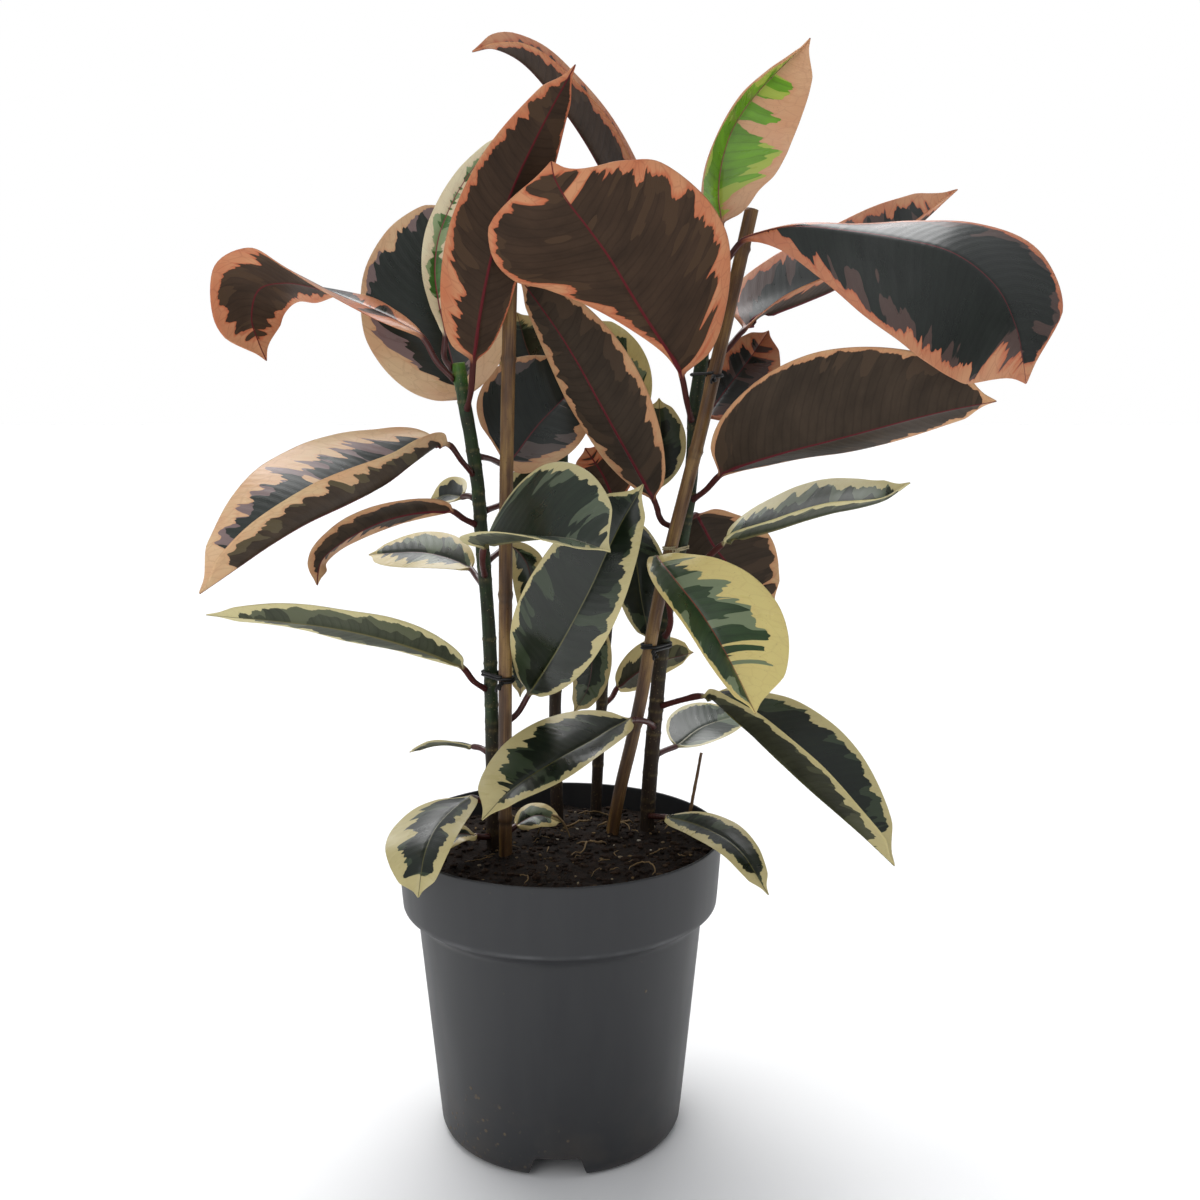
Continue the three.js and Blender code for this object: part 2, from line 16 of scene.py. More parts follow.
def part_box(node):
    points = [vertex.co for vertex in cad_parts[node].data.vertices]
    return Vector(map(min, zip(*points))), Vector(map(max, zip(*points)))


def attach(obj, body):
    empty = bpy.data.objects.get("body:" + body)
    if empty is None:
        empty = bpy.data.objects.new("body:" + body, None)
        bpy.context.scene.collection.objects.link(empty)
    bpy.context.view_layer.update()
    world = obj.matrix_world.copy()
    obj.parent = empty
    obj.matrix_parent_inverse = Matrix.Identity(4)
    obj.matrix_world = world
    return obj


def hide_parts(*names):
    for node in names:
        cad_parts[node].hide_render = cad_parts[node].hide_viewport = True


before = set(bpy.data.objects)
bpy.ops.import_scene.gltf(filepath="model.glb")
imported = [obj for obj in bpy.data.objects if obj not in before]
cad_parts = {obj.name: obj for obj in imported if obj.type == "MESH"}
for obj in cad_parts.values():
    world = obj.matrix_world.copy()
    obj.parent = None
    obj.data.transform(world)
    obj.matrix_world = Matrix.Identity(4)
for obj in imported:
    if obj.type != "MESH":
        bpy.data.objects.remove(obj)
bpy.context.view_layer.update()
mm = 0.001

# %% [markdown]
# ## Camera and light
# A nursery photographs such a plant from a little under a metre away, with the camera at leaf
# height and tilted slightly down. A 38 mm lens gives the same mild perspective. Plants are lit by
# the sky, so the main light is a very soft sun overhead: it makes the upper sides of the leaves
# shine and leaves the undersides dark. A sun lights a floor evenly up to the horizon, which an area
# lamp can't do.

# %% Camera
scene = bpy.context.scene
eye = bpy.data.objects.new("camera", bpy.data.cameras.new("camera"))
scene.collection.objects.link(eye)
eye.location = (0.026, -0.800, 0.467)
eye.rotation_euler = (math.radians(90 - 8.48), 0, 0)
eye.data.sensor_width = 36
eye.data.lens = 38.22
scene.camera = eye
scene.view_settings.view_transform = "Standard"
print("camera looks along", tuple(round(c, 2) for c in eye.rotation_euler))


# %% [markdown]
# ## Colours and nodes
# Paint charts and pickers give colours as sRGB hex values, but Blender's nodes count in linear
# light, so one function turns the first into the second. A second small function adds one shader
# node together with its settings and links, and hands back its output, which keeps each recipe
# readable from top to bottom.

# %% Helpers for materials
def linear(hex_colour):
    """Linear RGBA of an sRGB hex colour such as '#7a5a3a'."""
    parts = [int(hex_colour[i : i + 2], 16) / 255 for i in (1, 3, 5)]
    return tuple(c / 12.92 if c <= 0.04045 else ((c + 0.055) / 1.055) ** 2.4 for c in parts) + (1.0,)


def add(tree, kind, inputs=(), result=None, **settings):
    """Adds one shader node and returns an output: the one named result, or the first in use.

    inputs lists values for the sockets in use, in their order, or is a dict that names sockets.
    A value that is another node's output is linked.
    """
    made = tree.nodes.new("ShaderNode" + kind)
    for name, value in settings.items():
        setattr(made, name, value)
    in_use = [socket for socket in made.inputs if socket.enabled]
    for socket, value in inputs.items() if isinstance(inputs, dict) else zip(in_use, inputs):
        socket = made.inputs[socket] if isinstance(socket, str) else socket
        if isinstance(value, bpy.types.NodeSocket):
            tree.links.new(value, socket)
        else:
            socket.default_value = value
    return next((s for s in made.outputs if s.enabled and result in (None, s.name)), None)


def flecks(tree, spot, size, detail=2.0, roughness=0.5):
    """A noise whose flecks are so long along each axis, in spot's own units; 0 ignores an axis."""
    shrink = [1 / s if s else 0.0 for s in size]
    scaled = add(tree, "VectorMath", [spot, shrink], operation="MULTIPLY")
    return add(tree, "TexNoise", [scaled, 1.0, detail, roughness])


def new_finish(name):
    """A material whose node tree is empty, and that tree."""
    material = bpy.data.materials.new(name)
    material.use_nodes = True
    material.node_tree.nodes.clear()
    return material, material.node_tree


# %% Sky
# It is brightest overhead. The camera sees a plain white instead.
sky = bpy.data.worlds.new("soft_sky")
sky.use_nodes = True
scene.world = sky
tree = sky.node_tree
tree.nodes.clear()
upward = add(tree, "SeparateXYZ", [add(tree, "TexCoord", result="Generated")], "Z")
overcast = add(tree, "MapRange", [upward, -0.1, 0.75, 0.12, 0.6])
lit = add(tree, "Background", {"Color": linear("#f4f6fa"), "Strength": overcast})
plain = add(tree, "Background", {"Color": (1, 1, 1, 1), "Strength": 1.0})
both = add(tree, "MixShader", [add(tree, "LightPath", result="Is Camera Ray"), lit, plain])
add(tree, "OutputWorld", {"Surface": both})

# %% Lamps
sun = bpy.data.objects.new("soft_sun", bpy.data.lights.new("soft_sun", "SUN"))
sun.data.energy = 2.5
sun.data.angle = math.radians(50)
sun.rotation_euler = (math.radians(-24), math.radians(-8), 0)

window = bpy.data.objects.new("window", bpy.data.lights.new("window", "AREA"))
window.data.energy = 6
window.data.size = 1.2
window.location = (-0.9, -1.5, 1.2)
lower_leaves = Vector((0, 0, 0.3))
window.rotation_euler = (lower_leaves - window.location).to_track_quat("-Z", "Y").to_euler()
for lamp in (sun, window):
    scene.collection.objects.link(lamp)
print("lights:", sun.name, "and", window.name)

# %% Floor
floor_sheet = bmesh.new()
bmesh.ops.create_grid(floor_sheet, x_segments=1, y_segments=1, size=40)
floor_mesh = bpy.data.meshes.new("floor")
floor_sheet.to_mesh(floor_mesh)
floor_sheet.free()
floor = bpy.data.objects.new("floor", floor_mesh)
floor.location.z = -0.4 * mm
scene.collection.objects.link(floor)

floor_paint, tree = new_finish("matt_white_paper")
paper = add(tree, "BsdfPrincipled",
            {"Base Color": linear("#fafafa"), "Roughness": 0.9, "Specular IOR Level": 0.1})
add(tree, "OutputMaterial", {"Surface": paper})
floor_mesh.materials.append(floor_paint)
print("floor is", round(floor.dimensions.x), "m wide")


# %% [markdown]
# ## Reading the frame
# Leaves, stems and canes are CAD skins: rings of points, each joined to the next, with a fan at
# each end. If we find those rings again, a detailed piece can follow the CAD shape exactly. A copy
# of the mesh is welded first. The middle of a fan is the one point whose neighbours all have five
# edges; from there we walk from ring to ring, pairing each point with its nearest partner.

# %% Rings of a CAD skin
def rings_of(node_name, count):
    """The rings of a skinned CAD part, each a list of count points, from its foot to its tip."""
    skin = bmesh.new()
    skin.from_mesh(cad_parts[node_name].data)
    bmesh.ops.remove_doubles(skin, verts=skin.verts, dist=2e-6)

    def near(v):
        return [e.other_vert(v) for e in v.link_edges]

    ends = [v for v in skin.verts
            if len(v.link_edges) == count and all(len(n.link_edges) == 5 for n in near(v))]
    ends.sort(key=lambda v: -sum((n.co - v.co).length for n in near(v)))
    ring = [near(ends[0])[0]]
    members = set(near(ends[0]))
    while len(ring) < count:
        ring.append([n for n in near(ring[-1]) if n in members and n not in ring][0])
    done = {ends[0]} | members
    rings = [[v.co.copy() for v in ring]]
    while True:
        outward = {n for v in ring for n in near(v)} - done
        if len(outward) < count:
            break
        best = None
        for step in (-1, 1):
            pairs = []
            for j, v in enumerate(ring):
                shared = set(near(v)) & set(near(ring[(j + step) % count])) & outward
                pairs.append(shared.pop() if shared else None)
            if None in pairs or len(set(pairs)) < count:
                continue
            cost = sum((p.co - v.co).length for p, v in zip(pairs, ring))
            if best is None or cost < best[0]:
                best = (cost, pairs)
        ring = best[1]
        done |= set(ring)
        rings.append([v.co.copy() for v in ring])
    skin.free()
    return rings


print("leaf_right_05 has", len(rings_of("leaf_right_05", 10)), "rings")


# %% [markdown]
# A smooth path through a few stops is a Hermite curve: each stop gets a slope from its neighbours.
# The stops here are unevenly spaced, so their true distances are used as the parameter, which keeps
# the curve from overshooting where two stops lie close together.

# %% Smooth way through stops
def smooth_way(stops, places, at):
    """The point at a place along a smooth curve through stops, whose own places are given."""
    beyond = next((k for k, p in enumerate(places) if p > at), len(places))
    i = max(0, min(len(places) - 2, beyond - 1))
    span = places[i + 1] - places[i]

    def slope(k):
        a, b = max(k - 1, 0), min(k + 1, len(places) - 1)
        return (stops[b] - stops[a]) / (places[b] - places[a])

    t = (at - places[i]) / span
    return ((2 * t**3 - 3 * t**2 + 1) * stops[i] + (t**3 - 2 * t**2 + t) * span * slope(i)
            + (3 * t**2 - 2 * t**3) * stops[i + 1] + (t**3 - t**2) * span * slope(i + 1))


def places_of(stops):
    """How far along a line of stops each of them lies, in metres."""
    places = [0.0]
    for a, b in zip(stops, stops[1:]):
        places.append(places[-1] + max((b - a).length, 1e-6))
    return places


# %% [markdown]
# Long closed skins all start as a flat grid. One side of the grid runs along the piece, the other
# goes once round it; every vertex is moved to its place, the seam is welded, and the two open ends
# are filled. The grid operator makes all the faces, so we only decide where its corners go.

# %% A grid wrapped into a skin
def wrapped_skin(rows, around, place, values=()):
    """A closed skin. place(i, j) gives the point and a dict of values for row i, column j."""
    skin = bmesh.new()
    bmesh.ops.create_grid(skin, x_segments=rows, y_segments=around, size=1)
    layers = {}
    for name, kind in values:
        layers[name] = getattr(skin.verts.layers, kind).new(name)
    for v in skin.verts:
        i = round((v.co.x + 1) / 2 * rows)
        j = round((v.co.y + 1) / 2 * around) % around
        v.co, held = place(i, j)
        for name, layer in layers.items():
            v[layer] = held[name]
    bmesh.ops.remove_doubles(skin, verts=skin.verts, dist=1e-7)
    open_edges = [e for e in skin.edges if e.is_boundary]
    bmesh.ops.holes_fill(skin, edges=open_edges, sides=0)
    bmesh.ops.recalc_face_normals(skin, faces=skin.faces)
    return skin


def finish_piece(name, skin, material, replaces=(), smooth=True):
    """Turns a bmesh into a piece that rides on the plant's one body."""
    mesh = bpy.data.meshes.new(name)
    skin.to_mesh(mesh)
    skin.free()
    mesh.materials.append(material)
    if smooth:
        mesh.shade_smooth()
    piece = bpy.data.objects.new(name, mesh)
    scene.collection.objects.link(piece)
    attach(piece, "root")
    if replaces:
        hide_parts(*replaces)
    return piece


# %% [markdown]
# ## The leaves' finish
# A rubber plant's leaf is leathery. Its upper side has a thick, waxy skin that shines like satin
# varnish, and its underside is matt. In variegated plants the leaf's margin has no green at all, so
# cream shows there, flushed with pink in strong light. The edge of the green is ragged, with
# fingers that run along the side veins. A picture could paint this, but a recipe in the leaf's own
# millimetres works on every leaf: the distance from the margin is compared with a noise that is
# stretched along the veins.

# %% What a leaf tells its finish
# Every leaf carries its own numbers and colours at each point. Its map counts in millimetres: along
# the side veins, off the rib, and in from the margin.
leaf_numbers = ("upper", "margin", "blush", "rib_half", "blade")
leaf_colours = ("heart", "rim", "patch", "rib")


def leaf_facts(tree):
    facts = {name: add(tree, "Attribute", result="Fac", attribute_name=name) for name in leaf_numbers}
    for name in leaf_colours:
        facts[name] = add(tree, "Attribute", result="Color", attribute_name=name)
    facts["map"] = add(tree, "Attribute", result="Vector", attribute_name="leaf_map")
    split = add(tree, "SeparateXYZ", [facts["map"]]).node.outputs
    facts.update(vein=split["X"], off_rib=split["Y"], inset=split["Z"])
    return facts


# %% Where the green ends
def green_edges(tree, leaf):
    """How far outside the green a point lies, in millimetres, and masks of the rim and patches."""
    # Fingers: 10 mm apart along the rib and 45 mm long across it, with a ragged 1.5 mm fringe.
    fingers = flecks(tree, leaf["map"], (10, 0, 45), 2.5, 0.55)
    fringe = flecks(tree, leaf["map"], (1.5, 0, 9), 3.0, 0.6)
    broad = flecks(tree, leaf["map"], (34, 90, 60), 0.0)
    reach = add(tree, "Math", [fingers, 4.6, -1.35], operation="MULTIPLY_ADD")
    reach = add(tree, "Math", [reach, 0.0], operation="MAXIMUM")
    reach = add(tree, "Math", [leaf["margin"], reach], operation="MULTIPLY")
    swing = add(tree, "Math", [broad, 2.6, -0.3], operation="MULTIPLY_ADD")
    ragged = add(tree, "Math", [fringe, 2.2, -0.1], operation="MULTIPLY_ADD")
    reach = add(tree, "Math", [reach, swing, ragged], operation="MULTIPLY_ADD")
    outside = add(tree, "Math", [reach, leaf["inset"]], operation="SUBTRACT")
    has_rim = add(tree, "MapRange", [leaf["margin"], 0.05, 0.3])
    rim = add(tree, "MapRange", [outside, -0.25, 0.25])
    rim = add(tree, "Math", [rim, has_rim], operation="MULTIPLY")

    # Half-green patches lie beside the rim, made the same way but broader, with islands in the green.
    half_tone = flecks(tree, leaf["map"], (11, 0, 55))
    islands = flecks(tree, leaf["map"], (26, 30, 60), 1.0)
    wide = add(tree, "Math", [leaf["margin"], 3.0], operation="ADD")
    tongue = add(tree, "Math", [half_tone, 8.0, -3.0], operation="MULTIPLY_ADD")
    island = add(tree, "Math", [islands, 60.0, -33.0], operation="MULTIPLY_ADD")
    reach = add(tree, "Math", [wide, tongue, island], operation="MULTIPLY_ADD")
    reach = add(tree, "Math", [fringe, 4.0, reach], operation="MULTIPLY_ADD")
    reach = add(tree, "Math", [reach, leaf["inset"]], operation="SUBTRACT")
    patch = add(tree, "MapRange", [reach, -0.5, 0.5, 0.0, 0.85])
    return outside, rim, patch, fringe


# %% Veins
def leaf_veins(tree, leaf):
    """Waves of the side veins, 5.5 mm apart, and of the finest, 1.4 mm apart, and the net between."""
    wander = add(tree, "TexNoise", [leaf["map"], 0.09])
    along = add(tree, "Math", [wander, 2.5, leaf["vein"]], operation="MULTIPLY_ADD")
    waves = []
    for spacing in (5.5, 1.4):
        turn = add(tree, "Math", [along, 2 * math.pi / spacing], operation="MULTIPLY")
        waves.append(add(tree, "Math", [turn], operation="COSINE"))
    cell_size = add(tree, "VectorMath", [leaf["map"], (1 / 6.5, 1 / 9, 0.0)], operation="MULTIPLY")
    cells = add(tree, "TexVoronoi", [cell_size, 1.0], feature="DISTANCE_TO_EDGE")
    return waves[0], waves[1], add(tree, "MapRange", [cells, 0.06, 0.0])


# %% Colour of the blade, rim and rib
def green_colour(tree, leaf, ridge, patch):
    mottle = flecks(tree, leaf["map"], (13, 30, 0), 4.0, 0.6)
    tone = add(tree, "MapRange", [mottle, 0.3, 0.7, 0.72, 1.3])
    grey = add(tree, "CombineColor", [tone, tone, tone])
    green = add(tree, "Mix", [1.0, leaf["heart"], grey], data_type="RGBA", blend_type="MULTIPLY")
    thread = add(tree, "Math", [ridge, 0.5, 0.5], operation="MULTIPLY_ADD")
    thread = add(tree, "Math", [thread, 10.0], operation="POWER")
    thread = add(tree, "Math", [thread, 0.22], operation="MULTIPLY")
    deep = add(tree, "Mix", [1.0, green, linear("#7a6e5a")], data_type="RGBA", blend_type="MULTIPLY")
    green = add(tree, "Mix", [thread, green, deep], data_type="RGBA")
    return add(tree, "Mix", [patch, green, leaf["patch"]], data_type="RGBA")


def rim_colour(tree, leaf, outside, net):
    """Cream, flushed with pink beside the green and in clouds, with a fine red net and dry spots."""
    pink = add(tree, "Mix", [1.0, leaf["rim"], linear("#eeb0a4")], data_type="RGBA",
               blend_type="MULTIPLY")
    at_green = add(tree, "MapRange", [outside, 4.5, 0.0])
    cloud = add(tree, "MapRange", [add(tree, "TexNoise", [leaf["map"], 0.03, 2.0]), 0.4, 0.65])
    cloud = add(tree, "Math", [cloud, 0.7], operation="MULTIPLY")
    flush = add(tree, "Math", [at_green, cloud], operation="MAXIMUM")
    flush = add(tree, "Math", [leaf["blush"], flush], operation="MULTIPLY")
    rim = add(tree, "Mix", [flush, leaf["rim"], pink], data_type="RGBA")
    net_tint = add(tree, "Math", [leaf["blush"], 0.22, 0.06], operation="MULTIPLY_ADD")
    net_tint = add(tree, "Math", [net, net_tint], operation="MULTIPLY")
    rim = add(tree, "Mix", [net_tint, rim, linear("#8a4436")], data_type="RGBA")
    spots = add(tree, "MapRange", [add(tree, "TexNoise", [leaf["map"], 0.8, 1.0]), 0.72, 0.76])
    spots = add(tree, "Math", [spots, 0.35], operation="MULTIPLY")
    return add(tree, "Mix", [spots, rim, linear("#7a5433")], data_type="RGBA")


def with_rib(tree, leaf, blade):
    """The blade's colour with its midrib, about 1 mm wide above and 2 mm below, and the petiole."""
    off = add(tree, "Math", [leaf["off_rib"]], operation="ABSOLUTE")
    off = add(tree, "Math", [off, leaf["rib_half"]], operation="SUBTRACT")
    petiole = add(tree, "Math", [1.0, leaf["blade"]], operation="SUBTRACT")
    on_rib = add(tree, "MapRange", [off, 0.25, -0.15])
    on_rib = add(tree, "Math", [on_rib, petiole], operation="MAXIMUM")
    stalk = add(tree, "Mix", [leaf["blade"], linear("#4a2320"), leaf["rib"]], data_type="RGBA")
    return add(tree, "Mix", [on_rib, blade, stalk], data_type="RGBA")


# %% Leaf skin, waxy above and matt below
def leaf_finish(name, wax, shine):
    """One side of the leaf. wax is the strength of the glossy coat, shine that of the skin below."""
    material, tree = new_finish(name)
    leaf = leaf_facts(tree)
    outside, rim, patch, fringe = green_edges(tree, leaf)
    ridge, fine, net = leaf_veins(tree, leaf)
    green = green_colour(tree, leaf, ridge, patch)
    blade = add(tree, "Mix", [rim, green, rim_colour(tree, leaf, outside, net)], data_type="RGBA")

    # Roughness goes from 0.24 to 0.4 above, where the wax is hazy, and is about 0.58 below.
    haze = add(tree, "MapRange", [flecks(tree, leaf["map"], (10, 25, 0), 3.0), 0.3, 0.7, 0.24, 0.4])
    matt = add(tree, "Math", [fringe, 0.12, 0.52], operation="MULTIPLY_ADD")
    rough = add(tree, "Mix", [leaf["upper"], matt, haze], data_type="FLOAT")

    fine = add(tree, "Math", [fine, 0.06], operation="MULTIPLY")
    height = add(tree, "Math", [ridge, 0.22, fine], operation="MULTIPLY_ADD")
    pores = add(tree, "TexNoise", [leaf["map"], 1.6, 2.0])
    height = add(tree, "Math", [pores, 0.35, height], operation="MULTIPLY_ADD")
    bump = add(tree, "Bump", {"Strength": 0.35, "Distance": 0.4 * mm, "Height": height})
    skin = add(tree, "BsdfPrincipled",
               {"Base Color": with_rib(tree, leaf, blade), "Roughness": rough, "IOR": 1.42,
                "Specular IOR Level": shine, "Coat Weight": wax, "Coat Roughness": 0.2,
                "Normal": bump})
    add(tree, "OutputMaterial", {"Surface": skin})
    return material


leaf_top = leaf_finish("waxy_leaf_top", 0.3, 0.5)
leaf_under = leaf_finish("matt_leaf_underside", 0.0, 0.2)
print("leaf finishes have", len(leaf_top.node_tree.nodes), "nodes each")


# %% [markdown]
# ## The leaves' shape
# The CAD leaf has ten points in each ring: edge, half way, middle, half way and edge on top, and
# below them the same again with a rib that stands out. The detailed leaf keeps those points and
# puts smooth curves through them, both along the leaf and across each half. The two halves meet in
# a crease above the midrib, as they do on the plant. Then come the things a flat drawing misses: a
# drawn-out tip, a margin that waves a little, and a petiole that flows into the rib.

# %% One leaf's rings, named by what they are
def leaf_sections(node_name):
    """Per ring: top middle, crest, and for the left and right half the half-way points and edge."""
    rings = rings_of(node_name, 10)
    blade_start = len(rings) - 10
    mid = rings[blade_start + 4]
    gap = [(mid[(c + 1) % 10] - mid[c]).length + (mid[c - 1] - mid[c]).length for c in range(10)]
    crest = gap.index(min(gap))
    top = (crest + 5) % 10
    along = (rings[blade_start + 5][top] - rings[blade_start + 3][top]).normalized()
    right_way = along.cross((mid[top] - mid[crest]).normalized())
    turn = 1 if (mid[(crest + 3) % 10] - mid[crest]).dot(right_way) > 0 else -1
    sections = []
    for ring in rings:
        section = {"crest": ring[crest], "top": ring[top]}
        for hand, way in (("right", turn), ("left", -turn)):
            for steps, part in enumerate(("flank", "low", "edge", "high"), 1):
                section[hand, part] = ring[(crest + steps * way) % 10]
        sections.append(section)
    return sections, blade_start


def through(a, b, c, share):
    """The point at a share of the way along a smooth bow through a at 0, b at 0.55 and c at 1."""
    wa = (share - 0.55) * (share - 1) / 0.55
    wb = share * (share - 1) / (0.55 * (0.55 - 1))
    wc = share * (share - 0.55) / 0.45
    return wa * a + wb * b + wc * c


def eased(x):
    """0 up to x = 0 and 1 from x = 1, with a soft start and end between."""
    x = min(1.0, max(0.0, x))
    return x * x * (3 - 2 * x)


# %% Rows along a leaf and columns across its halves
# Four columns follow the rib in millimetres; the others share out the width, closer at the margin.
near_rib = (0.0, 0.8, 1.7, 3.0)
half_columns = 14
around_leaf = 4 * half_columns
blade_rows = 66


def column_reach(k, width):
    """How far from the rib, in metres, column k of a half lies, when the half is so wide."""
    squeeze = min(1.0, width / (9 * mm))
    if k < len(near_rib):
        return near_rib[k] * mm * squeeze
    first = near_rib[-1] * mm * squeeze
    share = (k - 3) / (half_columns - 3)
    return first + (width - first) * math.sin(share * math.pi / 2) ** 1.15


def leaf_rows(sections, blade_start):
    """Rows from the petiole's foot to the tip: place, share of the blade, and the named points."""
    spine = places_of([(s["top"] + s["crest"]) / 2 for s in sections])
    foot, length = spine[blade_start], spine[-1] - spine[blade_start]
    petiole_rows = 4 + 3 * blade_start
    places = [foot * i / petiole_rows for i in range(petiole_rows + 1)]
    for i in range(1, blade_rows + 1):
        share = i / blade_rows
        # Half even and half drawn together towards both ends, where the outline bends most.
        places.append(foot + length * (0.5 * share + 0.5 * (0.5 - 0.5 * math.cos(math.pi * share))))
    tracks = {key: [s[key] for s in sections] for key in sections[0]}
    rows = []
    for at in places:
        points = {key: smooth_way(track, spine, at) for key, track in tracks.items()}
        rows.append((at, max(0.0, (at - foot) / length), points))
    return rows, petiole_rows, foot, length


# %% A point of the blade, and a point of the petiole
def blade_spot(p, hand, k, top_side, share):
    """Column k of one half: point, normal, mm off the rib, share of the width, width and pinch."""
    middle, edge, high = p["top"], p[hand, "edge"], p[hand, "high"]
    thick = middle - (p["left", "flank"] + p["right", "flank"]) / 2
    width = (edge - middle).length
    # The tip is drawn out: the last tenth of the blade is pinched to under half its width.
    pinch = 1 - 0.55 * eased((share - 0.89) / 0.085)
    reach = column_reach(k, width)
    a = min(1.0, reach / max(width, 1e-5)) * pinch
    upper = through(middle, high, edge, a)
    normal = thick.lerp(high - p[hand, "low"], min(a / 0.55, 1.0)).normalized()
    off_rib = reach / mm * pinch
    if top_side:
        depth = 0.35 * mm * math.exp(-((off_rib / 1.1) ** 2))
    else:
        near_edge = max(0.0, a / pinch - 0.9) / 0.1
        rib = max(0.0, (middle - p["crest"]).length - thick.length) * 1.15 * (1 - 0.7 * share)
        depth = (0.75 * mm * math.sqrt(max(0.0, 1 - near_edge**2))
                 + rib * math.exp(-((off_rib / 1.25) ** 2)))
    return upper - normal * depth, normal, off_rib, a, width, pinch


def petiole_spot(p, turn, at, on_petiole):
    """The same ring as a round stalk, a little thicker where it leaves the stem."""
    up_arm = (p["top"] - p["crest"]) / 2
    out_arm = (p["right", "edge"] - p["left", "edge"]) / 2
    if on_petiole or out_arm.length > up_arm.length:
        out_arm = out_arm.normalized() * up_arm.length
    cushion = 1.0 + 0.22 * math.exp(-at / mm / 3.0)
    middle = (p["top"] + p["crest"]) / 2
    return middle + (out_arm * math.cos(turn) + up_arm * math.sin(turn)) * cushion


# %% One leaf's skin
skin_values = [("leaf_map", "float_vector")]
skin_values += [(name, "float") for name in leaf_numbers]
skin_values += [(name, "float_color") for name in leaf_colours]


def leaf_skin(node_name, look, seed):
    """The fine skin of one leaf, and the point where its petiole starts."""
    rows, petiole_rows, foot, length = leaf_rows(*leaf_sections(node_name))
    shift = Vector((seed * 7.3, seed * 3.1, seed * 5.7))

    def place(i, j):
        at, share, p = rows[i]
        top_side = j <= 2 * half_columns
        k = abs(j - half_columns) if top_side else abs(j - 3 * half_columns)
        half = 1 if (j < half_columns or j > 3 * half_columns) else 0
        hand, sign = (("left", -1), ("right", 1))[half]
        spot, normal, off_rib, a, width, pinch = blade_spot(p, hand, k, top_side, share)
        sideways = sign * off_rib

        # The margin waves by up to 2 mm, and the whole half lifts and sinks a little.
        ripple = noise.noise(Vector((at / mm / 42, sign * 3.3, 0)) + shift) * 2.6 * a**2.2
        swell = noise.noise(Vector((at / mm / 70, sideways / 60, 4)) + shift)
        swell *= 2.4 * min(1.0, off_rib / 14)
        taper = min(1.0, share / 0.08) * min(1.0, (1 - share) / 0.06 + 0.15)
        spot = spot + normal * (ripple + swell) * taper * mm
        # The petiole turns into the blade over the blade's first thirtieth.
        blade = min(1.0, share / 0.035)
        stalk = petiole_spot(p, j / around_leaf * 2 * math.pi, at, i <= petiole_rows)

        vein = (at - foot) / mm - 0.28 * off_rib - 0.3 * off_rib**2 / max(width / mm, 8)
        inset = min(width / mm * pinch - off_rib, (1 - share) * length / mm * 0.55 + 0.2)
        grow = 1 + look["foot"][half] * (1 - share) ** 3 + look["tip"][half] * share**4
        held = dict(
            leaf_map=Vector((vein + seed * 37.0, sideways, max(0.0, inset))),
            upper=1.0 if top_side else 0.0, margin=look["margin"][half] * grow, blush=look["blush"],
            rib_half=(0.5 if top_side else 1.0) * (1 - 0.7 * share), blade=blade,
            heart=look["top" if top_side else "under"], rim=look["rim"],
            patch=look["patch" if top_side else "patch_under"], rib=look["rib"])
        return stalk.lerp(spot, eased(blade)), held

    first = rows[0][2]
    skin = wrapped_skin(len(rows) - 1, around_leaf, place, skin_values)
    return skin, (first["top"] + first["crest"]) / 2


# %% [markdown]
# ## The leaves' colours
# Leaves at the top of the plant are younger and stand in the light, so their margins are coral and
# their midribs red; the old ones near the pot are green and cream. A table gives each kind of leaf
# its colours once. Each leaf then names its kind, the width of its pale margin on its left and right
# half in millimetres, and how much wider that margin gets at the foot and at the tip.

# %% Kinds of leaf
# kind: those colours, and how much its margin is flushed with pink, from 0 to 1
kind_tones = ("top", "under", "rim", "patch", "patch_under", "rib")
kinds = {
    "young": ("#64951a", "#6d7434", "#d3a47c", "#adb94c", "#8f9350", "#7e2a26", 0.35),
    "mint": ("#3f6a28", "#47331f", "#e2d8b2", "#8fa070", "#5c4a34", "#7a2428", 0.2),
    "coral": ("#171c17", "#3c2c20", "#c88f68", "#54403a", "#4a3727", "#5e1a20", 0.9),
    "peach": ("#1a211a", "#3e3125", "#dbbb90", "#86706e", "#5f543c", "#5e2428", 0.45),
    "brown": ("#1e231e", "#3a2f25", "#c8a278", "#5f5450", "#48392c", "#5e1f26", 0.5),
    "olive": ("#1a2514", "#383524", "#c4b47c", "#58644a", "#565539", "#50302a", 0.1),
    "green": ("#0e190a", "#343526", "#c6b984", "#36422d", "#4f5039", "#56542c", 0.0),
    "sage": ("#1f2b1c", "#404434", "#c9bf8e", "#5c6852", "#5f634b", "#6a6440", 0.0),
    "gold": ("#2a4020", "#4a4a2c", "#dccb82", "#7f8c6a", "#706e3e", "#84402c", 0.1),
}
print(len(kinds), "kinds of leaf")

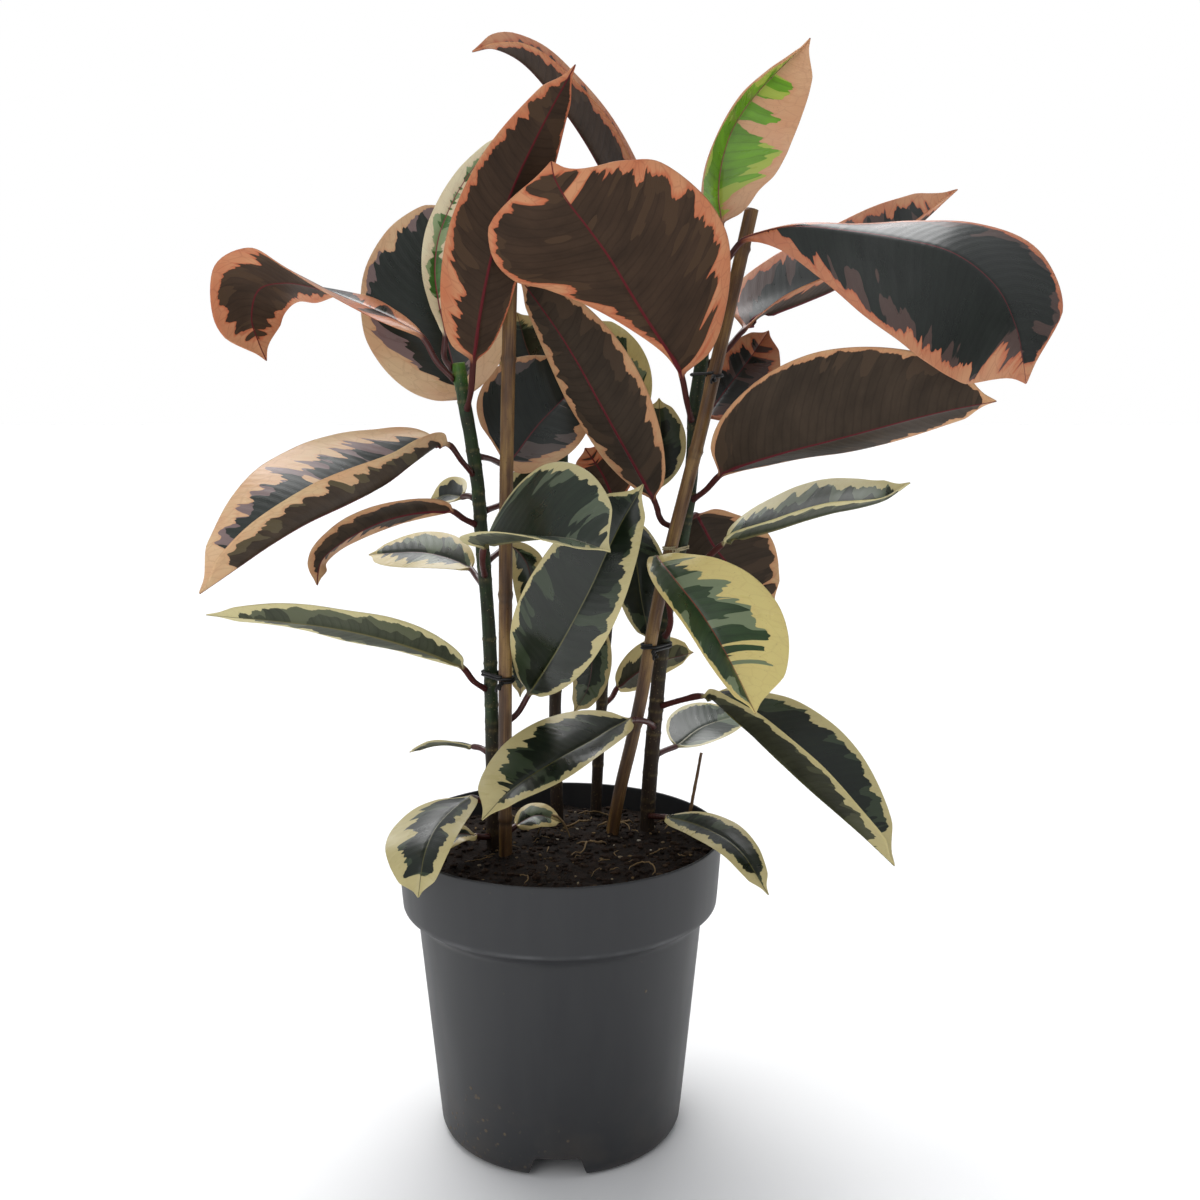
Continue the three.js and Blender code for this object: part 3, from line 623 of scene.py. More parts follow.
# %% The leaves
# leaf: kind, margin (left, right), extra at the foot (left, right), extra at the tip (left, right)
leaves = {
    "leaf_left_01": ("mint", (4, 4), (0, 0), (1, 1)),
    "leaf_left_02": ("coral", (10, 8), (0, 0), (1, 1)),
    "leaf_left_03": ("peach", (7, 12), (1, 0), (0, 1)),
    "leaf_left_04": ("coral", (0.4, 2.2), (1, 6), (1, 1)),
    "leaf_left_05": ("brown", (3, 11), (0, 0), (0, 0)),
    "leaf_left_06": ("peach", (9, 15), (1, 1), (1, 1)),
    "leaf_left_07": ("green", (3, 3), (0, 0), (0, 0)),
    "leaf_left_08": ("sage", (2, 3), (0, 0), (0, 0)),
    "leaf_left_09": ("brown", (3, 7), (0, 0), (0, 1)),
    "leaf_left_10": ("olive", (3, 3), (0, 0), (0, 0)),
    "leaf_left_11": ("sage", (4, 5), (0, 0), (0, 0)),
    "leaf_left_12": ("olive", (8, 3), (0, 0), (1, 1)),
    "leaf_left_13": ("sage", (3, 4), (0, 0), (1, 1)),
    "leaf_left_14": ("green", (2.2, 3.2), (0, 0), (1, 0)),
    "leaf_left_15": ("sage", (2, 2), (0, 0), (0, 0)),
    "leaf_left_16": ("green", (5, 6), (0, 0), (1, 1)),
    "leaf_left_17": ("olive", (3, 3), (0, 0), (0, 0)),
    "leaf_left_18": ("olive", (3, 3), (0, 0), (0, 0)),
    "leaf_right_01": ("young", (0.5, 12), (0, 1), (6, 1)),
    "leaf_right_02": ("coral", (1.5, 5), (0, 0), (4, 2)),
    "leaf_right_03": ("coral", (4, 4), (0, 0), (1, 1)),
    "leaf_right_04": ("coral", (9, 6), (0, 0), (1, 1)),
    "leaf_right_05": ("coral", (13, 3.5), (0, 0), (0, 1)),
    "leaf_right_06": ("coral", (9, 9), (0, 0), (0, 0)),
    "leaf_right_07": ("brown", (2.5, 2), (0, 0), (1, 1)),
    "leaf_right_08": ("brown", (5, 5), (0, 0), (0, 0)),
    "leaf_right_09": ("brown", (3, 4), (0, 0), (0, 0)),
    "leaf_right_10": ("sage", (7, 4), (0, 0), (0, 0)),
    "leaf_right_11": ("gold", (17, 1.8), (0, 0), (1, 0)),
    "leaf_right_12": ("green", (5, 5), (0, 0), (1, 1)),
    "leaf_right_13": ("green", (3, 6), (0, 0), (1, 1)),
    "leaf_right_14": ("sage", (2, 2), (0, 0), (0, 0)),
    "leaf_right_15": ("green", (2, 3.5), (0, 0), (0, 1)),
    "leaf_back_left_01": ("olive", (5, 5), (0, 0), (0, 0)),
    "leaf_back_left_02": ("olive", (2, 2), (0, 0), (0, 0)),
    "leaf_back_left_03": ("olive", (2, 2), (0, 0), (0, 0)),
    "leaf_back_right_01": ("gold", (5, 6), (0, 0), (1, 1)),
    "leaf_back_right_02": ("green", (3, 3), (0, 0), (0, 0)),
    "leaf_back_right_03": ("coral", (4, 4), (0, 0), (0, 0)),
    "leaf_back_right_04": ("green", (1, 1), (0, 0), (0, 0)),
    "leaf_back_right_05": ("olive", (4, 4), (0, 0), (0, 0)),
}

# %% Grow every leaf
faces = 0
leaf_feet = []
for order, (leaf, (kind, margin, at_foot, at_tip)) in enumerate(leaves.items()):
    *tones, blush = kinds[kind]
    look = {name: Vector(linear(tone)) for name, tone in zip(kind_tones, tones)}
    look.update(blush=blush, margin=margin, foot=at_foot, tip=at_tip)
    skin, foot = leaf_skin(leaf, look, order + 1)
    leaf_feet.append(foot)
    faces += len(skin.faces)
    side = skin.verts.layers.float["upper"]
    for face in skin.faces:
        face.material_index = 0 if sum(v[side] for v in face.verts) > 2.5 else 1
    piece = finish_piece("grown_" + leaf, skin, leaf_top, replaces=(leaf,))
    piece.data.materials.append(leaf_under)
print(len(leaves), "leaves with", faces, "faces")


# %% [markdown]
# ## Stems
# The stems of a rubber plant grow one leaf at a time, and each fallen leaf and its sheath leave a
# ring on the bark. The young part is green and smooth, the old part brown and slightly cracked. The
# CAD stem gives the centre line and the thickness; the rings come from the heights where the leaves
# really leave the stem, and a small cushion of bark swells under each petiole.

# %% A fine skin along a CAD upright
bark_values = (("bark_map", "float_vector"), ("youth", "float"), ("scar", "float"))


def centre_line(node_name, sides):
    """Middles and radii of an upright's rings from the foot up, and their places along it."""
    rings = rings_of(node_name, sides)
    middles = [sum(ring, Vector()) / sides for ring in rings]
    radii = [sum((p - m).length for p in ring) / sides for ring, m in zip(rings, middles)]
    if middles[0].z > middles[-1].z:
        middles.reverse()
        radii.reverse()
    return middles, radii, places_of(middles)


def upright_skin(line, step, around, shape, hollow=0.0):
    """shape(height, angle) gives how far the bark stands out, its youth and its scar."""
    middles, radii, places = line
    rows = int(places[-1] / step)
    # A hollow top turns down into its hole: share of the radius and depth of each further row.
    mouth = ((0.84, 0.0), (0.5, 0.3 * mm), (0.42, hollow)) if hollow else ()

    def place(i, j):
        at = places[-1] * min(i, rows) / rows
        here = smooth_way(middles, places, at)
        ahead = (smooth_way(middles, places, min(at + step, places[-1]))
                 - smooth_way(middles, places, max(at - step, 0))).normalized()
        east = (Vector((1, 0, 0)) - ahead * ahead.x).normalized()
        north = ahead.cross(east)
        turn = j / around * 2 * math.pi
        radius = smooth_way(radii, places, at)
        out, youth, scar = shape(here.z, turn)
        reach = radius + out
        if i > rows:
            share, depth = mouth[i - rows - 1]
            reach, here = radius * share, here - ahead * depth
        elif i == rows and not hollow:
            reach *= 0.9
        spot = Vector((turn * radius / mm, at / mm, 0.0 if i <= rows else 1.0))
        held = dict(bark_map=spot, youth=youth, scar=scar)
        return here + (east * math.cos(turn) + north * math.sin(turn)) * reach, held

    return wrapped_skin(rows + len(mouth), around, place, bark_values)


def round_noise(turn, wide, along):
    """A noise that closes on itself round a stem; a wider circle gives more lumps round it."""
    return noise.noise(Vector((math.cos(turn) * wide, math.sin(turn) * wide, along)))


def bell(distance, width):
    """1 at no distance, and nearly 0 from twice the width on."""
    return math.exp(-((distance / width) ** 2))


# %% Where the leaves leave each stem
stem_names = ("stem_left", "stem_right", "stem_back_left", "stem_back_right")
stems = {name: centre_line(name, 10) for name in stem_names}
close_points = {}
for name, (middles, _, places) in stems.items():
    close_points[name] = [smooth_way(middles, places, places[-1] * k / 100) for k in range(101)]
growth = {name: [] for name in stems}
for foot in leaf_feet:
    nearest = {name: min(points, key=lambda point: (point - foot).length)
               for name, points in close_points.items()}
    name = min(nearest, key=lambda stem: (nearest[stem] - foot).length)
    arm = foot - nearest[name]
    growth[name].append((foot.z / mm, math.atan2(arm.y, arm.x)))
print({name: len(found) for name, found in growth.items()})


# %% Bark finish, living stem
def bark_finish():
    material, tree = new_finish("living_stem_bark")
    spot = add(tree, "Attribute", result="Vector", attribute_name="bark_map")
    youth = add(tree, "Attribute", result="Fac", attribute_name="youth")
    scar = add(tree, "Attribute", result="Fac", attribute_name="scar")
    # Cracks run up the stem: 0.8 mm apart and about 12 mm long.
    crack = flecks(tree, spot, (0.8, 12, 0), 4.0)
    cloud = add(tree, "TexNoise", [spot, 0.07, 3.0])
    age = add(tree, "Math", [cloud, 0.7, youth], operation="MULTIPLY_ADD")
    age = add(tree, "Math", [age, 0.35], operation="SUBTRACT")
    tint = add(tree, "ValToRGB", [age])
    stops = tint.node.color_ramp.elements
    stops[0].color, stops[1].color = linear("#35271b"), linear("#4f7d20")
    for place, colour in ((0.25, "#2e2618"), (0.45, "#1d2a12"), (0.72, "#22400f")):
        stops.new(place).color = linear(colour)
    # Lenticels, the pores of the bark, are pale dots half a millimetre wide.
    dots = add(tree, "MapRange", [add(tree, "TexVoronoi", [spot, 0.45]), 0.2, 0.12, 0.0, 0.45])
    light = add(tree, "Mix", [dots, tint, linear("#8a7a52")], data_type="RGBA")
    dark = add(tree, "MapRange", [crack, 0.3, 0.6, 0.55, 1.15])
    grey = add(tree, "CombineColor", [dark, dark, dark])
    worn = add(tree, "Mix", [1.0, light, grey], data_type="RGBA", blend_type="MULTIPLY")
    ringed = add(tree, "Mix", [scar, worn, linear("#a8925c")], data_type="RGBA")
    rough = add(tree, "MapRange", [age, 0.2, 0.8, 0.75, 0.42])
    bump = add(tree, "Bump", {"Strength": 0.5, "Distance": 0.4 * mm, "Height": crack})
    bark = add(tree, "BsdfPrincipled",
               {"Base Color": ringed, "Roughness": rough, "IOR": 1.45, "Normal": bump})
    add(tree, "OutputMaterial", {"Surface": bark})
    return material


living_bark = bark_finish()
print("bark:", living_bark.name)


# %% The four stems
def stem_shape(name, brown_to, green_to, old_rings):
    """Bark of one stem: brown up to brown_to, dark green above, and fresh green in the last 45 mm."""
    seat = list(stems).index(name) * 9.0
    rings = [height + 4 for height, _ in growth[name]] + list(old_rings)

    def shape(height, turn):
        z = height / mm
        out = 0.18 * round_noise(turn, 2, z / 9 + seat) + 0.3 * round_noise(turn, 1, z / 30 - seat)
        scar = 0.0
        for ring in rings:
            near = bell(z - ring - 1.2 * round_noise(turn, 1, ring), 0.8)
            out += 0.35 * near
            scar = max(scar, 0.32 * near * (0.5 + round_noise(turn, 3, ring + 5)))
        for foot, heading in growth[name]:
            out += bell(z - foot + 0.8, 3.2) * max(0.0, math.cos(turn - heading)) ** 4
        youth = (0.5 * min(1.0, max(0.0, (z - brown_to) / 60))
                 + 0.5 * min(1.0, max(0.0, (z - green_to) / 45 + 1)) ** 1.5)
        return out * mm, youth, scar

    return shape


# stem: height in mm where the brown ends, where the fresh green starts, and the rings of old leaves
for name, (brown_to, green_to, old_rings) in {
    "stem_left": (215, 500, (214, 236, 262, 279, 306, 322)),
    "stem_right": (270, 585, (205, 224, 252, 268, 291, 305, 330)),
    "stem_back_left": (330, 520, (210, 243, 275, 301)),
    "stem_back_right": (330, 520, (218, 240, 262, 296)),
}.items():
    skin = upright_skin(stems[name], 1.6 * mm, 28, stem_shape(name, brown_to, green_to, old_rings))
    finish_piece("bark_of_" + name, skin, living_bark, replaces=(name,))
print("stems grown")


# %% [markdown]
# ## Canes
# The two canes are thin tonkin bamboo. Bamboo has a raised joint every hand or so, straight fibres
# that weather to tan and brown streaks, and it is hollow, which shows at the sawn top. The same
# skin along the CAD line does it, with its last rows turned down into the hole.

# %% Bamboo finish
def bamboo_finish():
    material, tree = new_finish("weathered_bamboo")
    spot = add(tree, "Attribute", result="Vector", attribute_name="bark_map")
    joint = add(tree, "Attribute", result="Fac", attribute_name="scar")
    # Fibres are about 0.7 mm wide and 60 mm long, drawn a little coarse so that they show.
    fibre = flecks(tree, spot, (0.7, 60, 1), 5.0, 0.65)
    cloud = flecks(tree, spot, (7, 45, 1), 3.0)
    mixed = add(tree, "Math", [fibre, 0.55, cloud], operation="MULTIPLY_ADD")
    tint = add(tree, "ValToRGB", [mixed])
    stops = tint.node.color_ramp.elements
    stops[0].position, stops[0].color = 0.5, linear("#35220f")
    stops[1].position, stops[1].color = 1.0, linear("#94743f")
    for place, colour in ((0.66, "#4f341d"), (0.8, "#6d4e2c")):
        stops.new(place).color = linear(colour)
    mould = add(tree, "MapRange", [add(tree, "TexNoise", [spot, 0.9, 2.0]), 0.64, 0.72, 0.0, 0.7])
    spotted = add(tree, "Mix", [mould, tint, linear("#241a12")], data_type="RGBA")
    joints = add(tree, "Mix", [joint, spotted, linear("#3a281a")], data_type="RGBA")
    bump = add(tree, "Bump", {"Strength": 0.4, "Distance": 0.3 * mm, "Height": fibre})
    cane = add(tree, "BsdfPrincipled",
               {"Base Color": joints, "Roughness": 0.5, "IOR": 1.5, "Normal": bump})
    add(tree, "OutputMaterial", {"Surface": cane})
    return material


bamboo = bamboo_finish()
print("canes:", bamboo.name)


# %% The two canes
def cane_shape(joints):
    """Bamboo with a raised ring at each joint, and a narrow dark groove 3 mm below it."""
    def shape(height, turn):
        z = height / mm
        out = 0.1 * round_noise(turn, 1.5, z / 40)
        mark = 0.0
        for joint in joints:
            ring, groove = z - joint, z - joint + 3.0
            out += 0.75 * bell(ring, 1.5) - 0.35 * bell(groove, 0.8)
            mark = max(mark, 0.9 * bell(groove, 0.9), 0.35 * bell(ring, 2.4))
        return out * mm, 0.0, mark

    return shape


canes = {name: centre_line(name, 8) for name in ("cane_left", "cane_right")}
for name, joints in {"cane_left": (208, 352, 498), "cane_right": (262, 441, 566)}.items():
    skin = upright_skin(canes[name], 2.2 * mm, 32, cane_shape(joints), hollow=9 * mm)
    finish_piece("bamboo_" + name, skin, bamboo, replaces=(name,))


# %% The dry stalk
def stalk_shape(height, turn):
    bend = 0.35 * round_noise(turn, 1, height / mm / 5)
    return bend * mm, 0.0, 0.3 * max(0.0, noise.noise(Vector((0, 0, height / mm / 4))))


stalk = upright_skin(centre_line("dry_stalk", 6), 0.8 * mm, 14, stalk_shape, hollow=1.5 * mm)
finish_piece("withered_stalk", stalk, bamboo, replaces=("dry_stalk",))
print("canes and stalk grown")


# %% [markdown]
# ## Ties
# Nurseries fasten a stem to its cane with a piece of plastic-coated wire, wound round both and
# twisted shut, and here and there with twine. A tie is a round tube on a path: the path runs round
# the shape that a tight thread would take about the two round bars. A helper sweeps a tube along any
# list of points; it carries its side direction from point to point, so the tube doesn't twist.

# %% A tube along points
def tube(path, radius, around, thin_ends=False):
    """A round tube that follows path, with softened or thinned ends."""
    last = len(path) - 1
    ways = [(path[min(i + 1, last)] - path[max(i - 1, 0)]).normalized() for i in range(last + 1)]
    side = ways[0].orthogonal().normalized()
    sides = []
    for way in ways:
        side = (side - way * side.dot(way)).normalized()
        sides.append(side.copy())
    along = places_of(path)

    def place(i, j):
        turn = j / around * 2 * math.pi
        fade = 0.6 if i in (0, last) else 1.0
        if thin_ends:
            fade *= 0.35 + 0.65 * math.sin(math.pi * (i + 0.5) / len(path)) ** 0.5
        arm = sides[i] * math.cos(turn) + ways[i].cross(sides[i]) * math.sin(turn)
        spot = Vector((turn * radius / mm, along[i] / mm, 0))
        return path[i] + arm * radius * fade, dict(bark_map=spot, youth=0.0, scar=0.0)

    return wrapped_skin(last, around, place, bark_values)


def joined(skins):
    """One bmesh of several; each keeps its own closed skin."""
    whole = bmesh.new()
    for layer, kind in bark_values:
        getattr(whole.verts.layers, kind).new(layer)
    for skin in skins:
        part = bpy.data.meshes.new("part")
        skin.to_mesh(part)
        skin.free()
        whole.from_mesh(part)
        bpy.data.meshes.remove(part)
    return whole


# %% The way round a stem and its cane
def section_at(line, height):
    """Middle and radius of an upright at a height, found by halving."""
    middles, radii, places = line
    low, high = 0.0, places[-1]
    for _ in range(30):
        half = (low + high) / 2
        if smooth_way(middles, places, half).z < height:
            low = half
        else:
            high = half
    return smooth_way(middles, places, low), smooth_way(radii, places, low)


def round_both(stem, cane, height, stand_off, turns, climb, start):
    """Points of a tight thread, wound round stem and cane, from a start angle."""
    bars = [section_at(line, height) for line in (stem, cane)]
    path = []
    count = int(60 * turns)
    for i in range(count + 1):
        turn = start + turns * 2 * math.pi * i / count
        way = Vector((math.cos(turn), math.sin(turn), 0))
        middle, radius = max(bars, key=lambda bar: bar[0].dot(way) + bar[1])
        point = middle + way * (radius + stand_off)
        point.z = height + climb * (i / count - 0.5) + 0.2 * mm * math.sin(turn * 1.7)
        path.append(point)
    return path


def twist(start, way, length, apart, pitch, phase):
    """One strand of a twisted pair that leaves start in direction way, droops and opens."""
    side = way.orthogonal().normalized()
    other = way.cross(side)
    points = []
    for i in range(33):
        share = i / 32
        turn = phase + 2 * math.pi * length * share / pitch
        spread = apart * (1 + max(0.0, share - 0.75) * 5)
        arm = (side * math.cos(turn) + other * math.sin(turn)) * spread
        points.append(start + way * length * share + arm + Vector((0, 0, -0.25 * length * share**2)))
    return points


# %% Coated-wire finish
wire_coat, tree = new_finish("black_coated_wire")
scuff = add(tree, "TexNoise", [add(tree, "TexCoord", result="Object"), 900.0, 3.0])
sheen = add(tree, "MapRange", [scuff, 0.3, 0.7, 0.4, 0.6])
coat_tone = add(tree, "Mix", [scuff, linear("#050505"), linear("#141414")], data_type="RGBA")
coat = add(tree, "BsdfPrincipled", {"Base Color": coat_tone, "Roughness": sheen, "IOR": 1.48})
add(tree, "OutputMaterial", {"Surface": coat})
print("ties:", wire_coat.name)

# %% Three wire ties
# Each has its height in mm, its turns, and the angle at which its ends are twisted together.
wire = 0.95 * mm
for name, stem, cane, height, turns, front in (
    ("tie_left", "stem_left", "cane_left", 299, 2.0, -1.9),
    ("tie_right", "stem_right", "cane_right", 314, 2.0, -1.3),
    ("tie_right_top", "stem_right", "cane_right", 489, 1.0, -1.7),
):
    climb = 1.9 * mm * turns
    ring_path = round_both(stems[stem], canes[cane], height * mm, wire * 1.05, turns, climb, front)
    away = Vector((math.cos(front), math.sin(front), -0.25)).normalized()
    start = ring_path[0] + away * 0.6 * mm
    skins = [tube(ring_path, wire, 10)]
    for phase in (0.0, math.pi):
        end = twist(start, away, 6.5 * mm, 0.75 * mm, 4.2 * mm, phase)
        skins.append(tube(end, wire * 0.85, 8))
    finish_piece("wire_" + name, joined(skins), wire_coat, replaces=(name,))
print("wire ties wound")

# %% [markdown]
# Twine is jute: two thin strands that twist about each other every 3 mm. It is wound twice round
# stem and cane and knotted in front. Its hairs are a noise drawn out along the strand.

# %% Jute finish
twine_finish, tree = new_finish("jute_twine")
spot = add(tree, "Attribute", result="Vector", attribute_name="bark_map")
hairs = flecks(tree, spot, (1 / 3, 2.5, 1), 4.0)
jute = add(tree, "Mix", [hairs, linear("#8a7a58"), linear("#d8cda8")], data_type="RGBA")
bump = add(tree, "Bump", {"Strength": 0.6, "Distance": 0.2 * mm, "Height": hairs})
fibre = add(tree, "BsdfPrincipled", {"Base Color": jute, "Roughness": 0.9, "Normal": bump})
add(tree, "OutputMaterial", {"Surface": fibre})

# %% The twine's windings
strand_pitch, strand_radius, strand_apart = 3 * mm, 0.34 * mm, 0.28 * mm
lay = round_both(stems["stem_right"], canes["cane_right"], 379 * mm, 0.65 * mm, 2.0, 2.6 * mm, -1.0)
lay = [lay[i].lerp(lay[i + 1], k / 3) for i in range(len(lay) - 1) for k in range(3)] + [lay[-1]]
gone = places_of(lay)
skins = []
for phase in (0.0, math.pi):
    strand = []
    for i, point in enumerate(lay):
        way = (lay[min(i + 1, len(lay) - 1)] - lay[max(i - 1, 0)]).normalized()
        out_way = way.cross(Vector((0, 0, 1))).normalized()
        turn = phase + 2 * math.pi * gone[i] / strand_pitch
        offset = out_way * math.cos(turn) + Vector((0, 0, 1)) * math.sin(turn)
        strand.append(point + offset * strand_apart)
    skins.append(tube(strand, strand_radius, 7))

# %% The twine's knot and ends
knot = lay[0] + Vector((0.4, -0.9, 0)) * mm
loop = []
for k in range(41):
    a = 2 * math.pi * k / 40
    bow = Vector((2.0 * math.sin(a), -0.8 - 0.9 * math.cos(2 * a), 1.53 * math.sin(2 * a) + 0.5))
    loop.append(knot + bow * mm)
skins.append(tube(loop, 0.4 * mm, 7))
for way, length in (((0.7, -0.5, -0.6), 11), ((-0.4, -0.6, -0.8), 8)):
    end = twist(knot, Vector(way).normalized(), length * mm, 0.3 * mm, 5 * mm, 0.0)
    skins.append(tube(end, strand_radius, 7))
finish_piece("jute_tie", joined(skins), twine_finish, replaces=("twine_right",))
print("twine tied")


# %% [markdown]
# ## The pot
# A nursery pot is blown or moulded from recycled polypropylene: a thin tapered wall, a deep collar
# that stiffens the rim, and feet with drain channels between them. It is a turned shape, so half of
# its outline is spun round the axis. Each corner of the outline gets a small arc first, because
# moulded plastic has no sharp corners. The channels and holes are cut afterwards.

# %% Outline of the pot
# Radii and heights are in millimetres. The wall leans out by taper, up to a step below the collar.
rim_radius, pot_height, foot_radius, taper = 105.0, 197.0, 79.0, 0.095
wall, floor_thickness = 1.6, 2.6
pot_low, pot_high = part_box("pot")
print("CAD pot is", round((pot_high[0] - pot_low[0]) / mm), "mm across and",
      round(pot_high[2] / mm), "mm high")


def rounded(corners):
    """Points of an outline whose corners [radius, height, round] are turned into small arcs."""
    points = []
    for i, (r, z, soft) in enumerate(corners):
        here = Vector((r, z))
        if not soft:
            points.append(here)
            continue
        arms = [Vector(corners[k][:2]) - here for k in (i - 1, i + 1)]
        start, end = [here + arm.normalized() * min(soft, arm.length * 0.45) for arm in arms]
        for k in range(6):
            t = k / 5
            points.append(start * (1 - t) ** 2 + here * 2 * t * (1 - t) + end * t**2)
    return points


def spun(points, steps=160):
    """A closed turned solid from outline points that start and end on the axis."""
    turned = bmesh.new()
    chain = [turned.verts.new((p.x * mm, 0, p.y * mm)) for p in points]
    edges = [turned.edges.new(pair) for pair in zip(chain, chain[1:])]
    bmesh.ops.spin(turned, geom=chain + edges, cent=(0, 0, 0), axis=(0, 0, 1), angle=2 * math.pi,
                   steps=steps, use_merge=True)
    bmesh.ops.remove_doubles(turned, verts=turned.verts, dist=1e-6)
    bmesh.ops.recalc_face_normals(turned, faces=turned.faces)
    return turned


pot_outline = rounded([
    # Under the foot, and up the outside to the step below the collar.
    (0, 0, 0), (foot_radius - 5, 0, 1), (foot_radius - 1.5, 1.5, 1.5),
    (foot_radius + taper * 5, 5, 2.5), (foot_radius + taper * 145, 145, 3), (101.7, 151.8, 0.5),
    # The collar and the rim.
    (102.1, 153, 0.5), (102.7, 160, 3), (rim_radius - 0.2, 191, 4), (rim_radius, pot_height - 0.8, 0.9),
    (rim_radius - 0.4, pot_height, 0.5), (rim_radius - wall, pot_height, 0.6),
    # Down the inside, and over the floor to the axis.
    (rim_radius - 1.9, pot_height - 1.2, 0.6), (100.7, 161, 3), (100.3, 154.5, 1.2),
    (foot_radius + taper * 147 - wall, 147, 3), (foot_radius + taper * 8 - wall, 9, 3),
    (foot_radius - 6, floor_thickness, 2), (0, floor_thickness, 0),
])
print("pot outline has", len(pot_outline), "points")


# %% Cutters for the drain channels and holes
# A channel is 38 mm wide at the ground and 28 mm at its roof, and runs 24 mm in from the foot's edge.
channel_height, channel_foot, channel_roof, channel_length = 14.0, 38.0, 28.0, 24.0
hole_radius, hole_inset = 5.0, 14.0


def channel_block(grow, overshoot, quarter):
    """A trapezium bar across the foot, grown by a wall and turned in quarters."""
    block = bmesh.new()
    bmesh.ops.create_cube(block, size=1)
    for v in block.verts:
        half = (channel_roof if v.co.z > 0 else channel_foot) / 2
        inner, outer = foot_radius - channel_length - grow, foot_radius + overshoot
        v.co = Vector((math.copysign(half + grow, v.co.x), -inner if v.co.y > 0 else -outer,
                       channel_height + grow if v.co.z > 0 else -2.0)) * mm
    shoulders = [e for e in block.edges if all(v.co.z > 0 for v in e.verts)
                 and abs(e.verts[0].co.x - e.verts[1].co.x) < 0.1 * mm]
    bmesh.ops.bevel(block, geom=shoulders, offset=2 * mm, segments=3, profile=0.5, affect="EDGES",
                    material=-1)
    quarter_turn = Matrix.Rotation(quarter * math.pi / 2, 3, "Z")
    bmesh.ops.rotate(block, verts=block.verts, cent=(0, 0, 0), matrix=quarter_turn)
    bmesh.ops.recalc_face_normals(block, faces=block.faces)
    return block


def drill_bit(quarter):
    """A round bar through the roof of one channel."""
    bit = bmesh.new()
    turn = (quarter - 1) * math.pi / 2
    reach = (foot_radius - hole_inset) * mm
    at = Matrix.Translation((reach * math.cos(turn), reach * math.sin(turn), channel_height * mm))
    bmesh.ops.create_cone(bit, cap_ends=True, segments=32, radius1=hole_radius * mm,
                          radius2=hole_radius * mm, depth=20 * mm, matrix=at)
    return bit


# %% Cut the pot
def cut(target, tool, kind):
    """Target with a solid joined to it, cut from it, or held within it, as a new bmesh."""
    holders = []
    for name, shape in (("target", target), ("tool", tool)):
        mesh = bpy.data.meshes.new(name)
        shape.to_mesh(mesh)
        shape.free()
        holder = bpy.data.objects.new(name, mesh)
        scene.collection.objects.link(holder)
        holders.append(holder)
    boolean = holders[0].modifiers.new("cut", "BOOLEAN")
    boolean.operation, boolean.solver, boolean.object = kind, "EXACT", holders[1]
    ready = holders[0].evaluated_get(bpy.context.evaluated_depsgraph_get())
    result = bmesh.new()
    result.from_mesh(ready.to_mesh())
    for holder in holders:
        mesh = holder.data
        bpy.data.objects.remove(holder)
        bpy.data.meshes.remove(mesh)
    return result


# The channel covers stop in the middle of the wall, so no two faces lie in one plane.
mid_wall = [Vector(p) for p in ((0, 1.2), (foot_radius - 5.5, 1.2), (foot_radius - 0.6, 5.5),
                                (foot_radius + 1.2, 30), (0, 30))]
shell = spun(pot_outline)
for quarter in range(4):
    cover = cut(channel_block(wall, 3, quarter), spun(mid_wall), "INTERSECT")
    shell = cut(shell, cover, "UNION")
for quarter in range(4):
    shell = cut(shell, channel_block(0, 6, quarter), "DIFFERENCE")
    shell = cut(shell, drill_bit(quarter), "DIFFERENCE")
open_edges = [e for e in shell.edges if not e.is_manifold]
print("pot shell has", len(shell.faces), "faces and", len(open_edges), "open edges")
